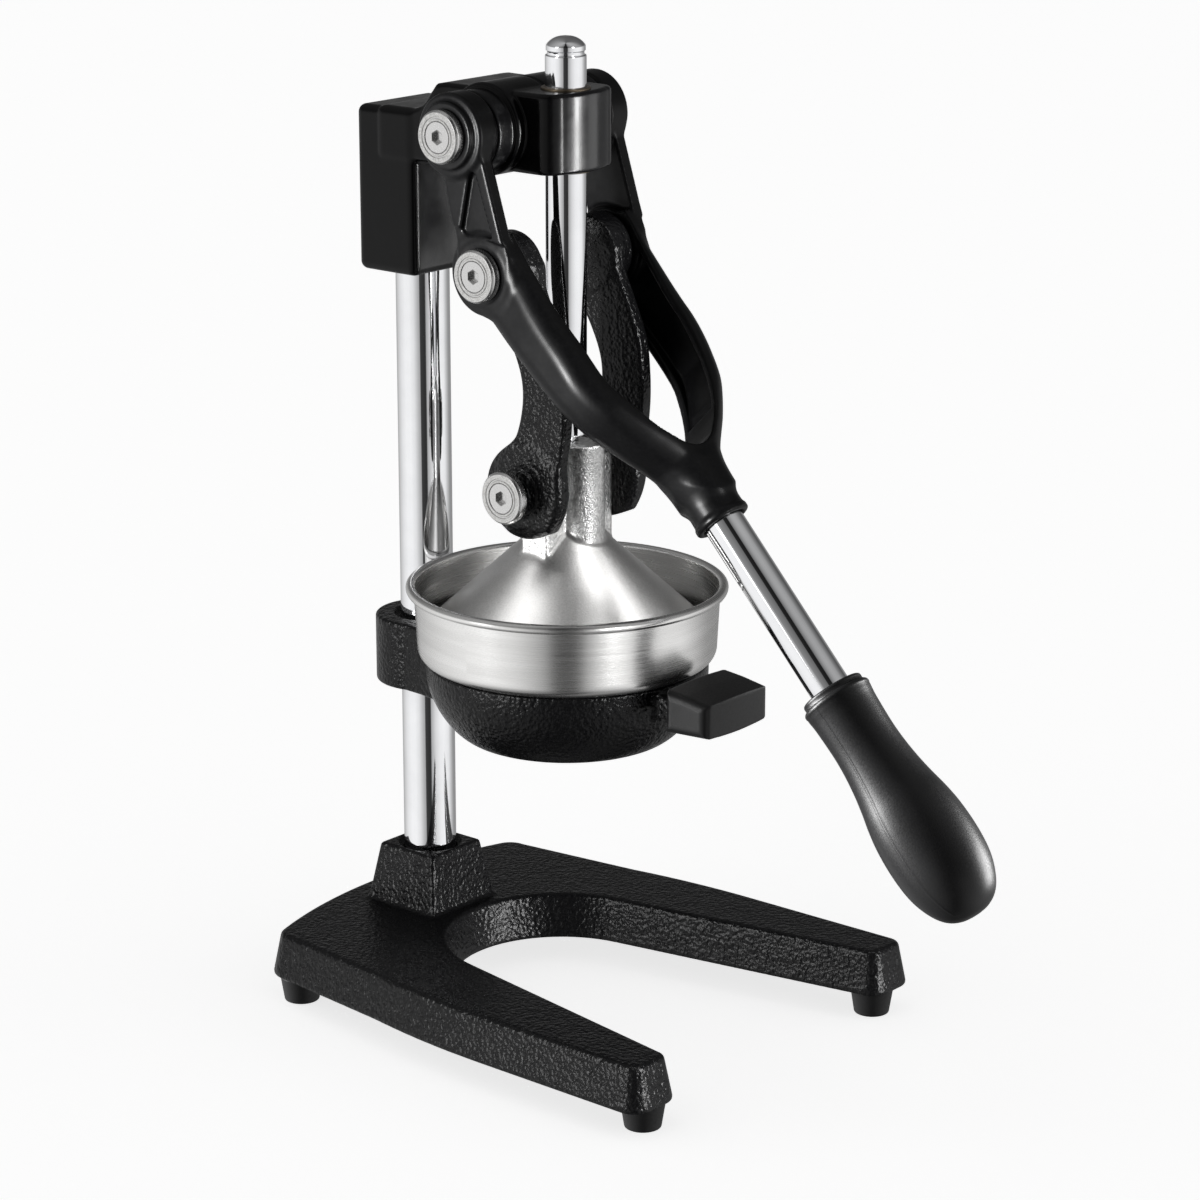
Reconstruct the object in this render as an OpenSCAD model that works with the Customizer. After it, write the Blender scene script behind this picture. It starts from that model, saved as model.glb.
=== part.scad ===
// Lever citrus press: a heavy forked base, a round post, a cast head that guides the press rod,
// a forked lever with two links, and a steel bowl in a cast holder that is clamped to the post.
// Millimetres. Inside the modules the rod's axis is x = y = 0, the table is z = 0 and the front
// is -Y. at_rod() then moves each piece so that the origin is the middle of the footprint.

/* [Stand] */
// Height of the rubber feet
foot_h = 10.7; // [9:0.1:13]
// Thickness of the base casting
base_t = 18.6; // [17:0.1:22]
// Top of the base's post socket
socket_top = 54; // [50:0.5:60]
// Radius of the post
post_r = 11; // [9:0.1:11.5]
// Distance from the press rod back to the post
post_y = 77; // [75:0.5:80]

/* [Head] */
// Underside of the head's rear block
head_low = 302; // [298:0.5:306]
// Top of the rear block
head_high = 369; // [366:0.5:371]
// Underside of the arm and the rod guide
arm_low = 349; // [345:0.5:352]
// Top of the rod guide
guide_top = 382; // [379:0.5:385]
// Half the width of the rod guide
guide_x = 20; // [18:0.1:20.2]

/* [Press] */
// Radius of the press rod
rod_r = 8.1; // [7:0.1:8.5]
// Height of the tip of the press cone's outer surface
cone_tip = 217; // [216:0.5:218]
// Fall of the press cone per millimetre of radius
cone_slope = 0.916; // [0.88:0.002:0.94]
// Outer radius of the press cone
cone_r = 56; // [54:0.1:57]
// Wall of the press cone, measured straight down
cone_wall = 5.6; // [4:0.1:6.5]

/* [Bowl and holder] */
// Radius of the middle of the bowl's rolled rim
rim_r = 63; // [62:0.1:64]
// Top of the bowl's rolled rim
rim_top = 183; // [181:0.5:186]
// Sheet thickness of the bowl
sheet = 0.8; // [0.7:0.1:1.2]
// Top of the cast cup that carries the bowl
cup_top = 151; // [150:0.1:151.5]
// Outer radius of the cast cup
cup_r = 57.3; // [56.5:0.1:58]

/* [Lever] */
// Radius of the yoke's pivot hubs
hub_r = 16.4; // [15.5:0.1:16.6]
// Inner face of the yoke's hubs
hub_in = 33.4; // [33.2:0.1:34]
// Outer face of the yoke's hubs
hub_out = 46.8; // [46:0.1:47.2]
// Outer radius of the handle tube
tube_r = 8.15; // [7.5:0.05:8.5]

/* [Hidden] */
$fn = 64;
eps = 0.5;                 // how far a cut runs past the face it starts from
run = 0.05;                // radial clearance of a running fit
fit = 0.02;                // radial clearance of a fixed fit
rod_y = 47.275;            // the press rod's place on Y, with the footprint centred on the origin
cast_black = "#26282a";
smooth_black = "#1c1e20";
rubber_black = "#2e2e30";
chrome = "#d9dde0";
steel = "#c6c9cb";
aluminium = "#b5b3b0";
bronze = "#b8935a";

// Pivots as [y, z]: lever on head, links on lever, links on press cone
p1 = [21.2, 366];
p2 = [8, 312.8];
p3 = [0.6, 224.6];
pin_r = 6;                 // radius of the lever's pins
pin3_r = 5;                // radius of the pins at the press cone
disc_r = 10.5;             // radius of the cover discs
disc_t = 3.8;              // thickness of the cover discs
disc_in = hub_out + 0.5;   // inner face of the discs at the main pivot
hub2_out = 41.7;           // outer face of the hubs that carry the links
disc2_in = hub2_out + 0.5; // inner face of the discs there
disc3_in = 35.4;           // inner face of the discs at the press cone
link_in = 20.9;            // inner face of the links
link_t = 6;                // thickness of the links' plates

base_top = foot_h + base_t;
post_low = 24;             // underside of the post, on the web of the socket
post_high = 345;           // top of the post inside the head
bolt_seat = 18;            // seat of the post bolt's washer in the base
foot_spots = [[67.5, 88.5], [74.5, -101.5], [-67.5, 88.5], [-74.5, -101.5]];

// The handle's axis runs from the mouth of the yoke's socket, down and forward
mouth = [-79.6, 221];
handle_tilt = 137.2;       // angle from straight up to the handle's axis, towards the front

module at_rod() {
    translate([0, rod_y, 0]) children();
}

// Both sides of a piece that is drawn on the +X side
module both() {
    children();
    mirror([1, 0, 0]) children();
}

// Children drawn along +Z from a pivot [y, z], laid along +X
module on_pivot(p) {
    translate([0, p.x, p.y]) rotate([0, 90, 0]) children();
}

// An outline [y, z] swept along X from x0 to x1
module side_slab(x0, x1) {
    translate([x0, 0, 0]) rotate([90, 0, 90]) linear_extrude(x1 - x0) children();
}

// Children drawn along +Z, laid along the handle's axis from the socket's mouth
module on_handle() {
    translate([0, mouth.x, mouth.y]) rotate([handle_tilt, 0, 0]) children();
}

function wrap(t) = t - 360 * round(t / 360);

// Points of the arc from a through b to c
function arc(a, b, c, n = 10) =
    let (
        d = 2 * (a.x * (b.y - c.y) + b.x * (c.y - a.y) + c.x * (a.y - b.y)),
        mx = (a * a) * (b.y - c.y) + (b * b) * (c.y - a.y) + (c * c) * (a.y - b.y),
        my = (a * a) * (c.x - b.x) + (b * b) * (a.x - c.x) + (c * c) * (b.x - a.x),
        m = [mx, my] / d,
        t0 = atan2(a.y - m.y, a.x - m.x),
        tb = wrap(atan2(b.y - m.y, b.x - m.x) - t0),
        tc = tb + wrap(atan2(c.y - m.y, c.x - m.x) - t0 - tb)
    )
    [for (i = [0:n]) m + norm(a - m) * [cos(t0 + tc * i / n), sin(t0 + tc * i / n)]];

// A closed outline from its +X half, which starts and ends on x = 0
function whole(half) = concat(half, [for (i = [len(half) - 2:-1:1]) [-half[i].x, half[i].y]]);

// A closed outline from its +X side, which stays clear of x = 0
function two_sided(side) = concat(side, [for (i = [len(side) - 1:-1:0]) [-side[i].x, side[i].y]]);

// A tapered square block about the post, from half width low to half width high
module post_socket(low, high, z0, z1) {
    side = [[-low, z0], [-high, z1], [high, z1], [low, z0]];
    translate([0, post_y, 0]) intersection() {
        side_slab(-low, low) polygon(side);
        rotate([0, 0, 90]) side_slab(-low, low) polygon(side);
    }
}

// The base's outline, grown by e all round: a bulged rear edge, bowed sides and a U-shaped gap
gap_r = 47.5;              // radius of the round end of the base's gap
gap_y = 4;                 // its centre

function base_half(e) = concat(
    arc([0, 109 + e], [38 + e / 3, 105.7 + e], [65 + e / 2, 99 + e], 5),
    arc([66 + e / 2, 98.7 + e], [71.5 + e * 0.8, 95.6 + e * 0.8], [73.8 + e, 88], 3),
    arc([80.5 + e, 31], [84.2 + e, 4], [86 + e, -30], 4),
    arc([86.6 + e, -103], [85.1 + e, -106.6 - e * 0.8], [81 + e, -108 - e], 3),
    arc([72 - e, -108 - e], [68.6 - e, -106.8 - e * 0.8], [67 - e, -103], 3),
    arc([46.8 - e, 12], [33.6 - e * 0.7, gap_y + 33.6 - e * 0.7], [0, gap_y + gap_r - e], 8)
);

// The casting widens towards its underside in equal steps, as its drafted walls do
module base() {
    spread = 3.8;
    steps = 4;
    step_h = base_t / steps;
    color(cast_black) at_rod() difference() {
        union() {
            for (i = [0:steps - 1]) translate([0, 0, foot_h + i * step_h])
                linear_extrude(step_h) polygon(whole(base_half(spread * (1 - i / (steps - 1)))));
            post_socket(19, 15, base_top - eps, socket_top);
        }
        translate([0, post_y, post_low]) cylinder(r = post_r + fit, h = socket_top);
        translate([0, post_y, socket_top - 1.5]) cylinder(r = post_r + 2.4, h = 3);
        translate([0, post_y, foot_h - eps]) cylinder(r = 13, h = bolt_seat - foot_h + eps);
        translate([0, post_y, foot_h]) cylinder(r = 5.2, h = post_low);
        for (s = foot_spots) translate([s.x, s.y, foot_h - eps]) cylinder(r = 2 + fit, h = 12);
    }
}

module feet() {
    color(rubber_black) at_rod() for (s = foot_spots) translate([s.x, s.y, 0]) difference() {
        cylinder(r1 = 7.2, r2 = 8.9, h = foot_h);
        translate([0, 0, -eps]) cylinder(r = 4, h = 4 + eps);
        cylinder(r = 2 + fit, h = foot_h + eps);
    }
}

module foot_screws() {
    color(steel) at_rod() for (s = foot_spots) translate([s.x, s.y, 0]) difference() {
        union() {
            translate([0, 0, 1.8]) cylinder(r = 3.7, h = 2.2);
            translate([0, 0, 4 - 0.01]) cylinder(r = 2, h = 16);
        }
        translate([0, 0, 1.8 - eps]) cylinder(r = 1.4, h = 1.2 + eps, $fn = 6);
    }
}

module post() {
    color(chrome) at_rod() translate([0, post_y, 0]) difference() {
        translate([0, 0, post_low]) cylinder(r = post_r, h = post_high - post_low);
        translate([0, 0, post_low - eps]) cylinder(r = 5 + fit, h = 32 + eps);
    }
}

module post_bolt() {
    color(steel) at_rod() translate([0, post_y, 0]) union() {
        translate([0, 0, 11.2]) cylinder(r = 8, h = 4.8, $fn = 6);
        translate([0, 0, 15.5]) cylinder(r = 5, h = 34);
    }
}

module post_washer() {
    color(steel) at_rod() translate([0, post_y, 16]) difference() {
        cylinder(r = 11.5, h = 2);
        translate([0, 0, -eps]) cylinder(r = 5.2, h = 3);
    }
}

block_x = 21.5;            // half the width of the head's rear block
block_front = 61.4;        // its front face
block_back = 92.6;         // its rear face
block_round = 4.5;         // rounding of its upright edges

// The head's rear block from above
function block_half() = concat(
    [[0, block_back]],
    arc([block_x - block_round, block_back], [block_x - 1.3, block_back - 1.3],
        [block_x, block_back - block_round], 5),
    arc([block_x, block_front + block_round], [block_x - 1.3, block_front + 1.3],
        [block_x - block_round, block_front], 5),
    [[0, block_front]]
);

// The arm and the rod guide from above
function arm_half() = concat(
    [[0, block_front + 12], [block_x, block_front + 12], [block_x, 50], [guide_x, 42]],
    arc([guide_x, -7.2], [10.3, -11.6], [0, -13], 6)
);

// The arm and the rod guide from the side, as [y, z]
function arm_side() = concat(
    [[block_front + 12, 333]],
    [[block_front, 333]],
    arc([block_front - 0.4, 334], [54, 343.5], [38, arm_low], 6),
    [[-14, arm_low], [-14, guide_top], [46, guide_top]],
    arc([50, guide_top - 0.6], [56, 373], [66, head_high], 6),
    [[block_front + 12, head_high]]
);

module head() {
    color(smooth_black) at_rod() difference() {
        union() {
            translate([0, 0, head_low]) linear_extrude(head_high - head_low) polygon(whole(block_half()));
            intersection() {
                side_slab(-block_x, block_x) polygon(arm_side());
                translate([0, 0, 330]) linear_extrude(60) polygon(whole(arm_half()));
            }
            both() on_pivot(p1) translate([0, 0, 10]) cylinder(r = 18.2, h = 14.5);
            both() on_pivot(p1) translate([0, 0, 10]) cylinder(r = 16, h = 23);
        }
        translate([0, post_y, head_low - eps]) cylinder(r = post_r + fit, h = post_high - head_low + eps);
        translate([0, post_y, head_low - eps]) cylinder(r = post_r + 2.2, h = 1.5 + eps);
        translate([0, 0, arm_low - eps]) cylinder(r = bush_r + fit, h = guide_top - arm_low + 2 * eps);
        both() on_pivot(p1) translate([0, 0, 22]) cylinder(r = pin_r + fit, h = 12);
        translate([0, post_y + post_r - 1, 318]) rotate([-90, 0, 0]) cylinder(r = 3 + fit, h = 12);
    }
}

// A socket set screw whose point is at the origin and whose socket faces +Z
module set_screw(r, length) {
    difference() {
        cylinder(r = r, h = length);
        translate([0, 0, length - 2.2]) cylinder(r = r * 0.55, h = 2.2 + eps, $fn = 6);
    }
}

module head_set_screw() {
    color(steel) at_rod() translate([0, post_y + post_r + fit, 318]) rotate([-90, 0, 0]) set_screw(3, 4.2);
}

bush_r = 9.8;              // outer radius of the guide bush

module guide_bush() {
    color(bronze) at_rod() difference() {
        translate([0, 0, arm_low]) cylinder(r = bush_r, h = guide_top - arm_low);
        translate([0, 0, arm_low - eps]) cylinder(r = rod_r + run, h = guide_top - arm_low + 2 * eps);
    }
}

// A pin along +X with a tapped hole in its outer end
module tapped_pin(r, x0, x1) {
    difference() {
        translate([0, 0, x0]) cylinder(r = r, h = x1 - x0);
        translate([0, 0, x1 - 9]) cylinder(r = 2.5 + fit, h = 9 + eps);
    }
}

// A cover disc along +X: bevelled rim, a turned groove and a countersunk hole
module cover_disc(x0) {
    translate([0, 0, x0]) difference() {
        union() {
            cylinder(r = disc_r, h = disc_t - 0.8);
            translate([0, 0, disc_t - 0.8 - 0.01]) cylinder(r1 = disc_r, r2 = disc_r - 0.8, h = 0.81);
        }
        translate([0, 0, -eps]) cylinder(r = 2.5 + fit, h = disc_t + 2 * eps);
        translate([0, 0, disc_t - 3.4]) cylinder(r1 = 2.9, r2 = 6.32, h = 3.42);
    }
}

// The countersunk socket screw of a cover disc, its head flush with the disc
module disc_screw(x0) {
    translate([0, 0, x0]) difference() {
        union() {
            translate([0, 0, disc_t - 3.4]) cylinder(r1 = 2.85, r2 = 6.25, h = 3.4);
            translate([0, 0, -8]) cylinder(r = 2.5, h = 8 + disc_t - 3);
        }
        translate([0, 0, disc_t - 2]) cylinder(r = 2.3, h = 2 + eps, $fn = 6);
    }
}

module pivot_pins() {
    color(steel) at_rod() both() on_pivot(p1) tapped_pin(pin_r, 22.2, disc_in);
}

module pivot_discs() {
    color(aluminium) at_rod() both() on_pivot(p1) cover_disc(disc_in);
}

module pivot_screws() {
    color(steel) at_rod() both() on_pivot(p1) disc_screw(disc_in);
}

// The cast cup's section as [r, z]: a shallow bowl-shaped shell with a drain opening
drain_r = 20;
cup_low = 118.5;           // underside of the cup
cup_floor = 124.5;         // inside of its floor
function cup_inside() = concat([[53, 147]], arc([51.6, 142], [46, 131.5], [36, cup_floor], 6));
function cup_section() = concat(
    [[drain_r, cup_low], [38, cup_low]],
    arc([41.5, 119.3], [51.6, 130], [cup_r - 0.3, 144], 6),
    [[cup_r, 146], [cup_r, cup_top], [53, cup_top]],
    cup_inside(),
    [[drain_r, cup_floor]]
);

clamp_low = 127;           // underside of the post clamp
clamp_high = 155.5;        // top of the post clamp
clamp_r = 21.5;            // outer radius of the post clamp

module cup_holder() {
    color(cast_black) at_rod() difference() {
        union() {
            rotate_extrude($fn = 96) polygon(cup_section());
            translate([0, post_y, clamp_low]) cylinder(r = clamp_r, h = clamp_high - clamp_low);
            translate([0, 0, clamp_low]) linear_extrude(clamp_high - clamp_low)
                polygon([[-20.6, 74], [20.6, 74], [23.5, 49], [-23.5, 49]]);
            translate([-12, -82, 139.5]) cube([24, 28, 9]);
        }
        rotate_extrude($fn = 96)
            polygon(concat([[0, cup_floor], [0, cup_top + eps], [53, cup_top + eps]], cup_inside()));
        translate([0, 0, cup_top]) cylinder(r = rim_r - 1, h = 20);
        translate([0, post_y, clamp_low - eps])
            cylinder(r = post_r + fit, h = clamp_high - clamp_low + 2 * eps);
        translate([0, post_y, clamp_high - 1.5]) cylinder(r = post_r + 2.6, h = 3);
        translate([0, post_y + post_r - 1, 141]) rotate([-90, 0, 0]) cylinder(r = 4 + fit, h = 14);
    }
}

module holder_set_screw() {
    color(steel) at_rod() translate([0, post_y + post_r + fit, 141]) rotate([-90, 0, 0]) set_screw(4, 9.5);
}

// The rubber block on the holder's lug: its top slopes down to the front
module knob_grip() {
    edge = 3.5;
    color(rubber_black) at_rod() difference() {
        hull() both() {
            for (c = [[-69.5, 140.3], [-84.5, 141.5], [-69.5, 152], [-84.5, 149]])
                translate([20 - edge, c.x, c.y]) sphere(r = edge, $fn = 32);
        }
        translate([-12 - fit, -82 - fit, 139.5 - fit]) cube([24 + 2 * fit, 20, 9 + 2 * fit]);
    }
}

// The bowl's section as [r, z]: rolled rim, upright wall, flat ledge, sloping floor and spout
spout_r = 13.5;
spout_low = 121.5;
function bowl_section() = concat(
    [[spout_r - sheet, spout_low], [spout_r, spout_low], [spout_r, 129.5], [15.5, 131.5]],
    [[50, cup_top], [55, cup_top]],
    arc([56, cup_top + 0.1], [59.6, cup_top + 2.2], [60.6, cup_top + 6], 5),
    [[61.8, rim_top - 3.2], [61.8 - sheet, rim_top - 3.2]],
    arc([60.6 - sheet, cup_top + 6.4], [59, cup_top + 2.9], [55.6, cup_top + sheet], 5),
    [[50.2, cup_top + sheet], [15, 132.4], [spout_r - sheet, 130]]
);

module bowl() {
    color(steel) at_rod() union() {
        rotate_extrude($fn = 96) polygon(bowl_section());
        rotate_extrude($fn = 96) translate([rim_r, rim_top - 2]) circle(r = 2, $fn = 24);
    }
}

// A perforated cone on the bowl's ledge, under the press cone
module strainer_cone() {
    foot_z = cup_top + sheet;
    rise = 43;
    color(steel) at_rod() difference() {
        rotate_extrude($fn = 96) polygon([
            [51.5, foot_z], [54.5, foot_z], [54.5, foot_z + 1], [48.5, foot_z + 2],
            [6, foot_z + rise], [0, foot_z + rise + 3], [0, foot_z + rise + 1.5],
            [5.4, foot_z + rise - 1], [47.5, foot_z + 1]
        ]);
        for (ring = [0:2]) for (i = [0:11]) rotate([0, 0, 30 * i + 15 * ring])
            translate([18 + 10 * ring, 0, foot_z]) cylinder(r = 1.6, h = 60, $fn = 16);
    }
}

// The yoke from the side, as [y, z]: the webs between its pivots, their front ribs, and its arms
function yoke_web() = [
    [7.2, 363], [-3.2, 330], [-5, 322], [19, 316], [20.5, 325.5], [27, 354], [30, 362]
];
function yoke_rib() = [[7.2, 363], [-3.2, 330], [2, 328.4], [12, 361.4]];
function yoke_arm() = [
    [14, 302], [8, 295], [-1.3, 286.6], [-16, 273.6], [-29, 261.5], [-39, 251], [-47.5, 241.5],
    [-55.6, 231.5], [-64, 222.5], [-80, 236], [-71.5, 246], [-66.5, 254], [-62, 259.8], [-54, 268.9],
    [-45.5, 277.5], [-35.5, 289.6], [-28, 297.2], [-21, 305], [-9, 320], [-2, 330]
];
// The hollow of the arms' inner sides
function arm_hollow() = [
    [-9.5, 312], [-19, 302], [-26, 294.6], [-33.4, 287], [-43.4, 274.8], [-50, 267.6],
    [-51, 256], [-46, 250.5], [-41, 253.6], [-31, 264], [-18, 276], [-8, 285.5], [-10, 300]
];
// The arms as seen square to their length, as [x, -a] with a from the links' pivot to the handle:
// the outer outline, the gap between the arms and the bottom of their hollows
arm_fall = 43.8;           // angle between the arms' length and the horizontal
function yoke_outer() = [
    [40.5, 30], [40.5, 2], [41.6, -14], [42.4, -30], [42.4, -46], [41.6, -58], [39.4, -67], [35.8, -75],
    [31, -82], [25, -89.5], [19.2, -96], [14.6, -102], [11.4, -108], [10.4, -114], [10.4, -130]
];
function yoke_inner() = [
    [hub_in, 60], [hub_in, -10], [32.8, -25], [32.2, -37], [31.6, -48], [30, -62], [27.4, -69.5],
    [24.4, -76], [20.6, -82.5], [16.4, -88], [11.6, -93], [6, -97]
];
function yoke_deep() = [
    [37.8, -16], [37.2, -37], [36.6, -48], [35, -62], [32, -71.5], [28.6, -78.5], [24.6, -85], [20, -90]
];
hub_face = 44.4;           // face of the main hubs, round their bosses
hub2_face = 40.5;          // face of the hubs that carry the links
boss_r = 13.2;             // radius of the bosses under the cover discs
web_in = 36.6;             // inner face of the webs
web_out = 40;              // their outer face
rib_out = 42.6;            // outer face of the ribs

module along_arm() {
    translate([0, p2.x, p2.y]) rotate([arm_fall, 0, 0]) translate([0, 0, -60]) linear_extrude(120) children();
}

module yoke() {
    socket_r = 10.6;
    color(smooth_black) at_rod() difference() {
        union() {
            intersection() {
                side_slab(-hub_out, hub_out) polygon(yoke_arm());
                along_arm() difference() {
                    polygon(two_sided(yoke_outer()));
                    polygon(two_sided(yoke_inner()));
                }
            }
            both() side_slab(web_in, web_out) polygon(yoke_web());
            both() side_slab(web_in, rib_out) polygon(yoke_rib());
            both() on_pivot(p1) translate([0, 0, hub_in]) cylinder(r = hub_r, h = hub_face - hub_in);
            both() on_pivot(p1) translate([0, 0, hub_in]) cylinder(r = boss_r, h = hub_out - hub_in);
            both() on_pivot(p2) translate([0, 0, hub_in]) cylinder(r = hub_r, h = hub2_face - hub_in);
            both() on_pivot(p2) translate([0, 0, hub_in]) cylinder(r = boss_r, h = hub2_out - hub_in);
            on_handle() translate([0, 0, -26]) cylinder(r = socket_r, h = 26);
            on_handle() translate([0, 0, -2.5]) cylinder(r = socket_r + 0.6, h = 2.5);
        }
        intersection() {
            side_slab(-hub_out, hub_out) polygon(arm_hollow());
            along_arm() polygon(two_sided(yoke_deep()));
        }
        on_handle() translate([0, 0, -22]) cylinder(r = tube_r + fit, h = 30);
        both() on_pivot(p1) translate([0, 0, hub_in - eps]) cylinder(r = 8 + fit, h = 20);
        both() on_pivot(p2) translate([0, 0, hub_in - eps]) cylinder(r = pin_r + fit, h = 20);
        both() on_pivot(p2) translate([0, 0, 15]) cylinder(r = hub_r + 1.5, h = hub_in - 15);
        both() on_pivot(p2) translate([0, 0, hub2_out]) cylinder(r = disc_r + 0.8, h = 10);
    }
}

module yoke_bushes() {
    color(bronze) at_rod() both() on_pivot(p1) difference() {
        translate([0, 0, hub_in]) cylinder(r = 8, h = hub_out - hub_in);
        translate([0, 0, hub_in - eps]) cylinder(r = pin_r + run, h = 20);
    }
}

module crank_pins() {
    color(steel) at_rod() both() on_pivot(p2) tapped_pin(pin_r, hub_in, disc2_in);
}

module crank_discs() {
    color(aluminium) at_rod() both() on_pivot(p2) cover_disc(disc2_in);
}

module crank_screws() {
    color(steel) at_rod() both() on_pivot(p2) disc_screw(disc2_in);
}

tube_start = -21.5;        // the tube's end in the yoke, along the handle's axis
tube_end = 172;            // its end in the grip

module handle_tube() {
    color(chrome) at_rod() on_handle() difference() {
        translate([0, 0, tube_start]) cylinder(r = tube_r, h = tube_end - tube_start);
        translate([0, 0, tube_start - eps]) cylinder(r = tube_r - 1.5, h = tube_end - tube_start + 2 * eps);
    }
}

// The grip's outline as [r, s], s along the handle's axis: a stepped collar, a waist and a swell
module handle_grip() {
    color(rubber_black) at_rod() on_handle() difference() {
        rotate_extrude() polygon(concat(
            [[0, 77.8], [11.9, 77.8], [12.7, 78.6], [12.7, 80.8], [13.4, 80.8]],
            arc([13.8, 81.2], [14, 82.2], [13.7, 85], 3),
            arc([13.3, 90], [13.05, 100], [13.5, 110], 5),
            arc([14.1, 115], [15.7, 125], [17.6, 135], 4),
            arc([18.3, 140], [18.75, 149], [17.9, 160], 5),
            arc([16.9, 165], [13, 174], [6, 179.3], 6),
            [[0, 180.6]]
        ));
        translate([0, 0, 70]) cylinder(r = tube_r + fit, h = tube_end - 70 + 0.5);
    }
}

// A link from the side, as [y, z]: its upper part is waisted and leans to the front
function link_side() = [
    [-16, 232], [-10, 218], [12, 218], [12, 236], [8, 240],
    [2.7, 252], [0, 262], [0, 270], [7.4, 286], [17, 302], [16, 318],
    [-2, 322], [-8.3, 308], [-13.6, 295], [-19.4, 280], [-21.5, 265], [-21.5, 248]
];
link_hub_out = 32.9;       // outer face of the link's upper hub
link_foot_out = 28.9;      // outer face of the link's lower hub

module link() {
    difference() {
        union() {
            side_slab(link_in, link_in + link_t) polygon(link_side());
            on_pivot(p2) translate([0, 0, link_in]) cylinder(r = 15, h = link_hub_out - link_in);
            on_pivot(p3) translate([0, 0, link_in]) cylinder(r = 19.5, h = link_t);
            on_pivot(p3) translate([0, 0, link_in]) cylinder(r = 10.5, h = link_foot_out - link_in);
        }
        on_pivot(p2) translate([0, 0, link_in + 2]) cylinder(r = pin_r + run, h = 30);
        on_pivot(p3) cylinder(r = pin3_r + run, h = 60);
    }
}

module link_left() {
    color(cast_black) at_rod() mirror([1, 0, 0]) link();
}

module link_right() {
    color(cast_black) at_rod() link();
}

// The press cone's outside and the hollow below it, as [r, z]: a straight cone with a short skirt
function cone_z(r) = cone_tip - cone_slope * r;
skirt_low = 160;           // underside of the skirt
function cone_outside() = [
    [0, cone_z(4)], [4, cone_z(4)], [cone_r, cone_z(cone_r)], [cone_r, skirt_low], [0, skirt_low]
];
function cone_hollow() = [
    [0, skirt_low - eps], [cone_r - 3.2, skirt_low - eps], [cone_r - 3.2, skirt_low],
    [cone_r - 4.6, cone_z(cone_r - 4.6) - cone_wall], [6, cone_z(6) - cone_wall],
    [0, cone_z(6) - cone_wall]
];
neck_top = 241.5;          // top of the neck's round ribs
wing_top = 234;            // top of the neck's wings
wing_x = 20.5;             // half the span of the wings
rib_r = 8.7;               // radius of the round ribs
rib_y = 8.5;               // how far their axes stand from the rod's

module press_cone() {
    neck_low = 196;
    neck_x = rib_r - 0.6;
    color(aluminium) at_rod() difference() {
        union() {
            rotate_extrude($fn = 96) polygon(cone_outside());
            for (side = [-1, 1])
                translate([0, side * rib_y, neck_low]) cylinder(r = rib_r, h = neck_top - neck_low);
            translate([-neck_x, -rib_y, neck_low]) cube([2 * neck_x, 2 * rib_y, neck_top - neck_low]);
            translate([-wing_x, -7, 192]) cube([2 * wing_x, 14, wing_top - 192]);
        }
        rotate_extrude($fn = 96) polygon(cone_hollow());
        translate([0, 0, 222]) cylinder(r = 4.4 + fit, h = 30);
        both() on_pivot(p3) translate([0, 0, 9]) cylinder(r = pin3_r + fit, h = 20);
    }
}

module link_pins() {
    color(chrome) at_rod() both() on_pivot(p3) tapped_pin(pin3_r, 9.5, disc3_in);
}

module link_discs() {
    color(aluminium) at_rod() both() on_pivot(p3) cover_disc(disc3_in);
}

module link_screws() {
    color(steel) at_rod() both() on_pivot(p3) disc_screw(disc3_in);
}

rod_low = 244;             // the rod's shoulder
rod_high = 394.4;          // the rod's top, under its cap

module rod() {
    color(chrome) at_rod() difference() {
        union() {
            translate([0, 0, rod_low]) cylinder(r = rod_r, h = rod_high - rod_low);
            translate([0, 0, 222.5]) cylinder(r = 4.4, h = rod_low - 222);
        }
        translate([0, 0, rod_high - 12]) cylinder(r = 4 + fit, h = 12 + eps);
    }
}

// A domed cap, its stem in the rod's end, with a turned neck under the dome
module rod_cap() {
    cap_r = 7.6;
    color(chrome) at_rod() rotate_extrude() polygon(concat(
        [[0, rod_high - 11], [4, rod_high - 11], [4, rod_high], [7.3, rod_high], [7.3, rod_high + 1.4]],
        [[cap_r, rod_high + 1.8], [cap_r, rod_high + 3.4]],
        arc([cap_r - 0.2, rod_high + 4], [5, rod_high + 6.1], [0, rod_high + 7], 6)
    ));
}

base();
feet();
foot_screws();
post();
post_bolt();
post_washer();
head();
head_set_screw();
guide_bush();
pivot_pins();
pivot_discs();
pivot_screws();
cup_holder();
holder_set_screw();
knob_grip();
bowl();
strainer_cone();
yoke();
yoke_bushes();
crank_pins();
crank_discs();
crank_screws();
handle_tube();
handle_grip();
link_left();
link_right();
press_cone();
link_pins();
link_discs();
link_screws();
rod();
rod_cap();
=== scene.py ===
import math

import bmesh
import bpy
import numpy as np
from mathutils import Matrix, Vector


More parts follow.
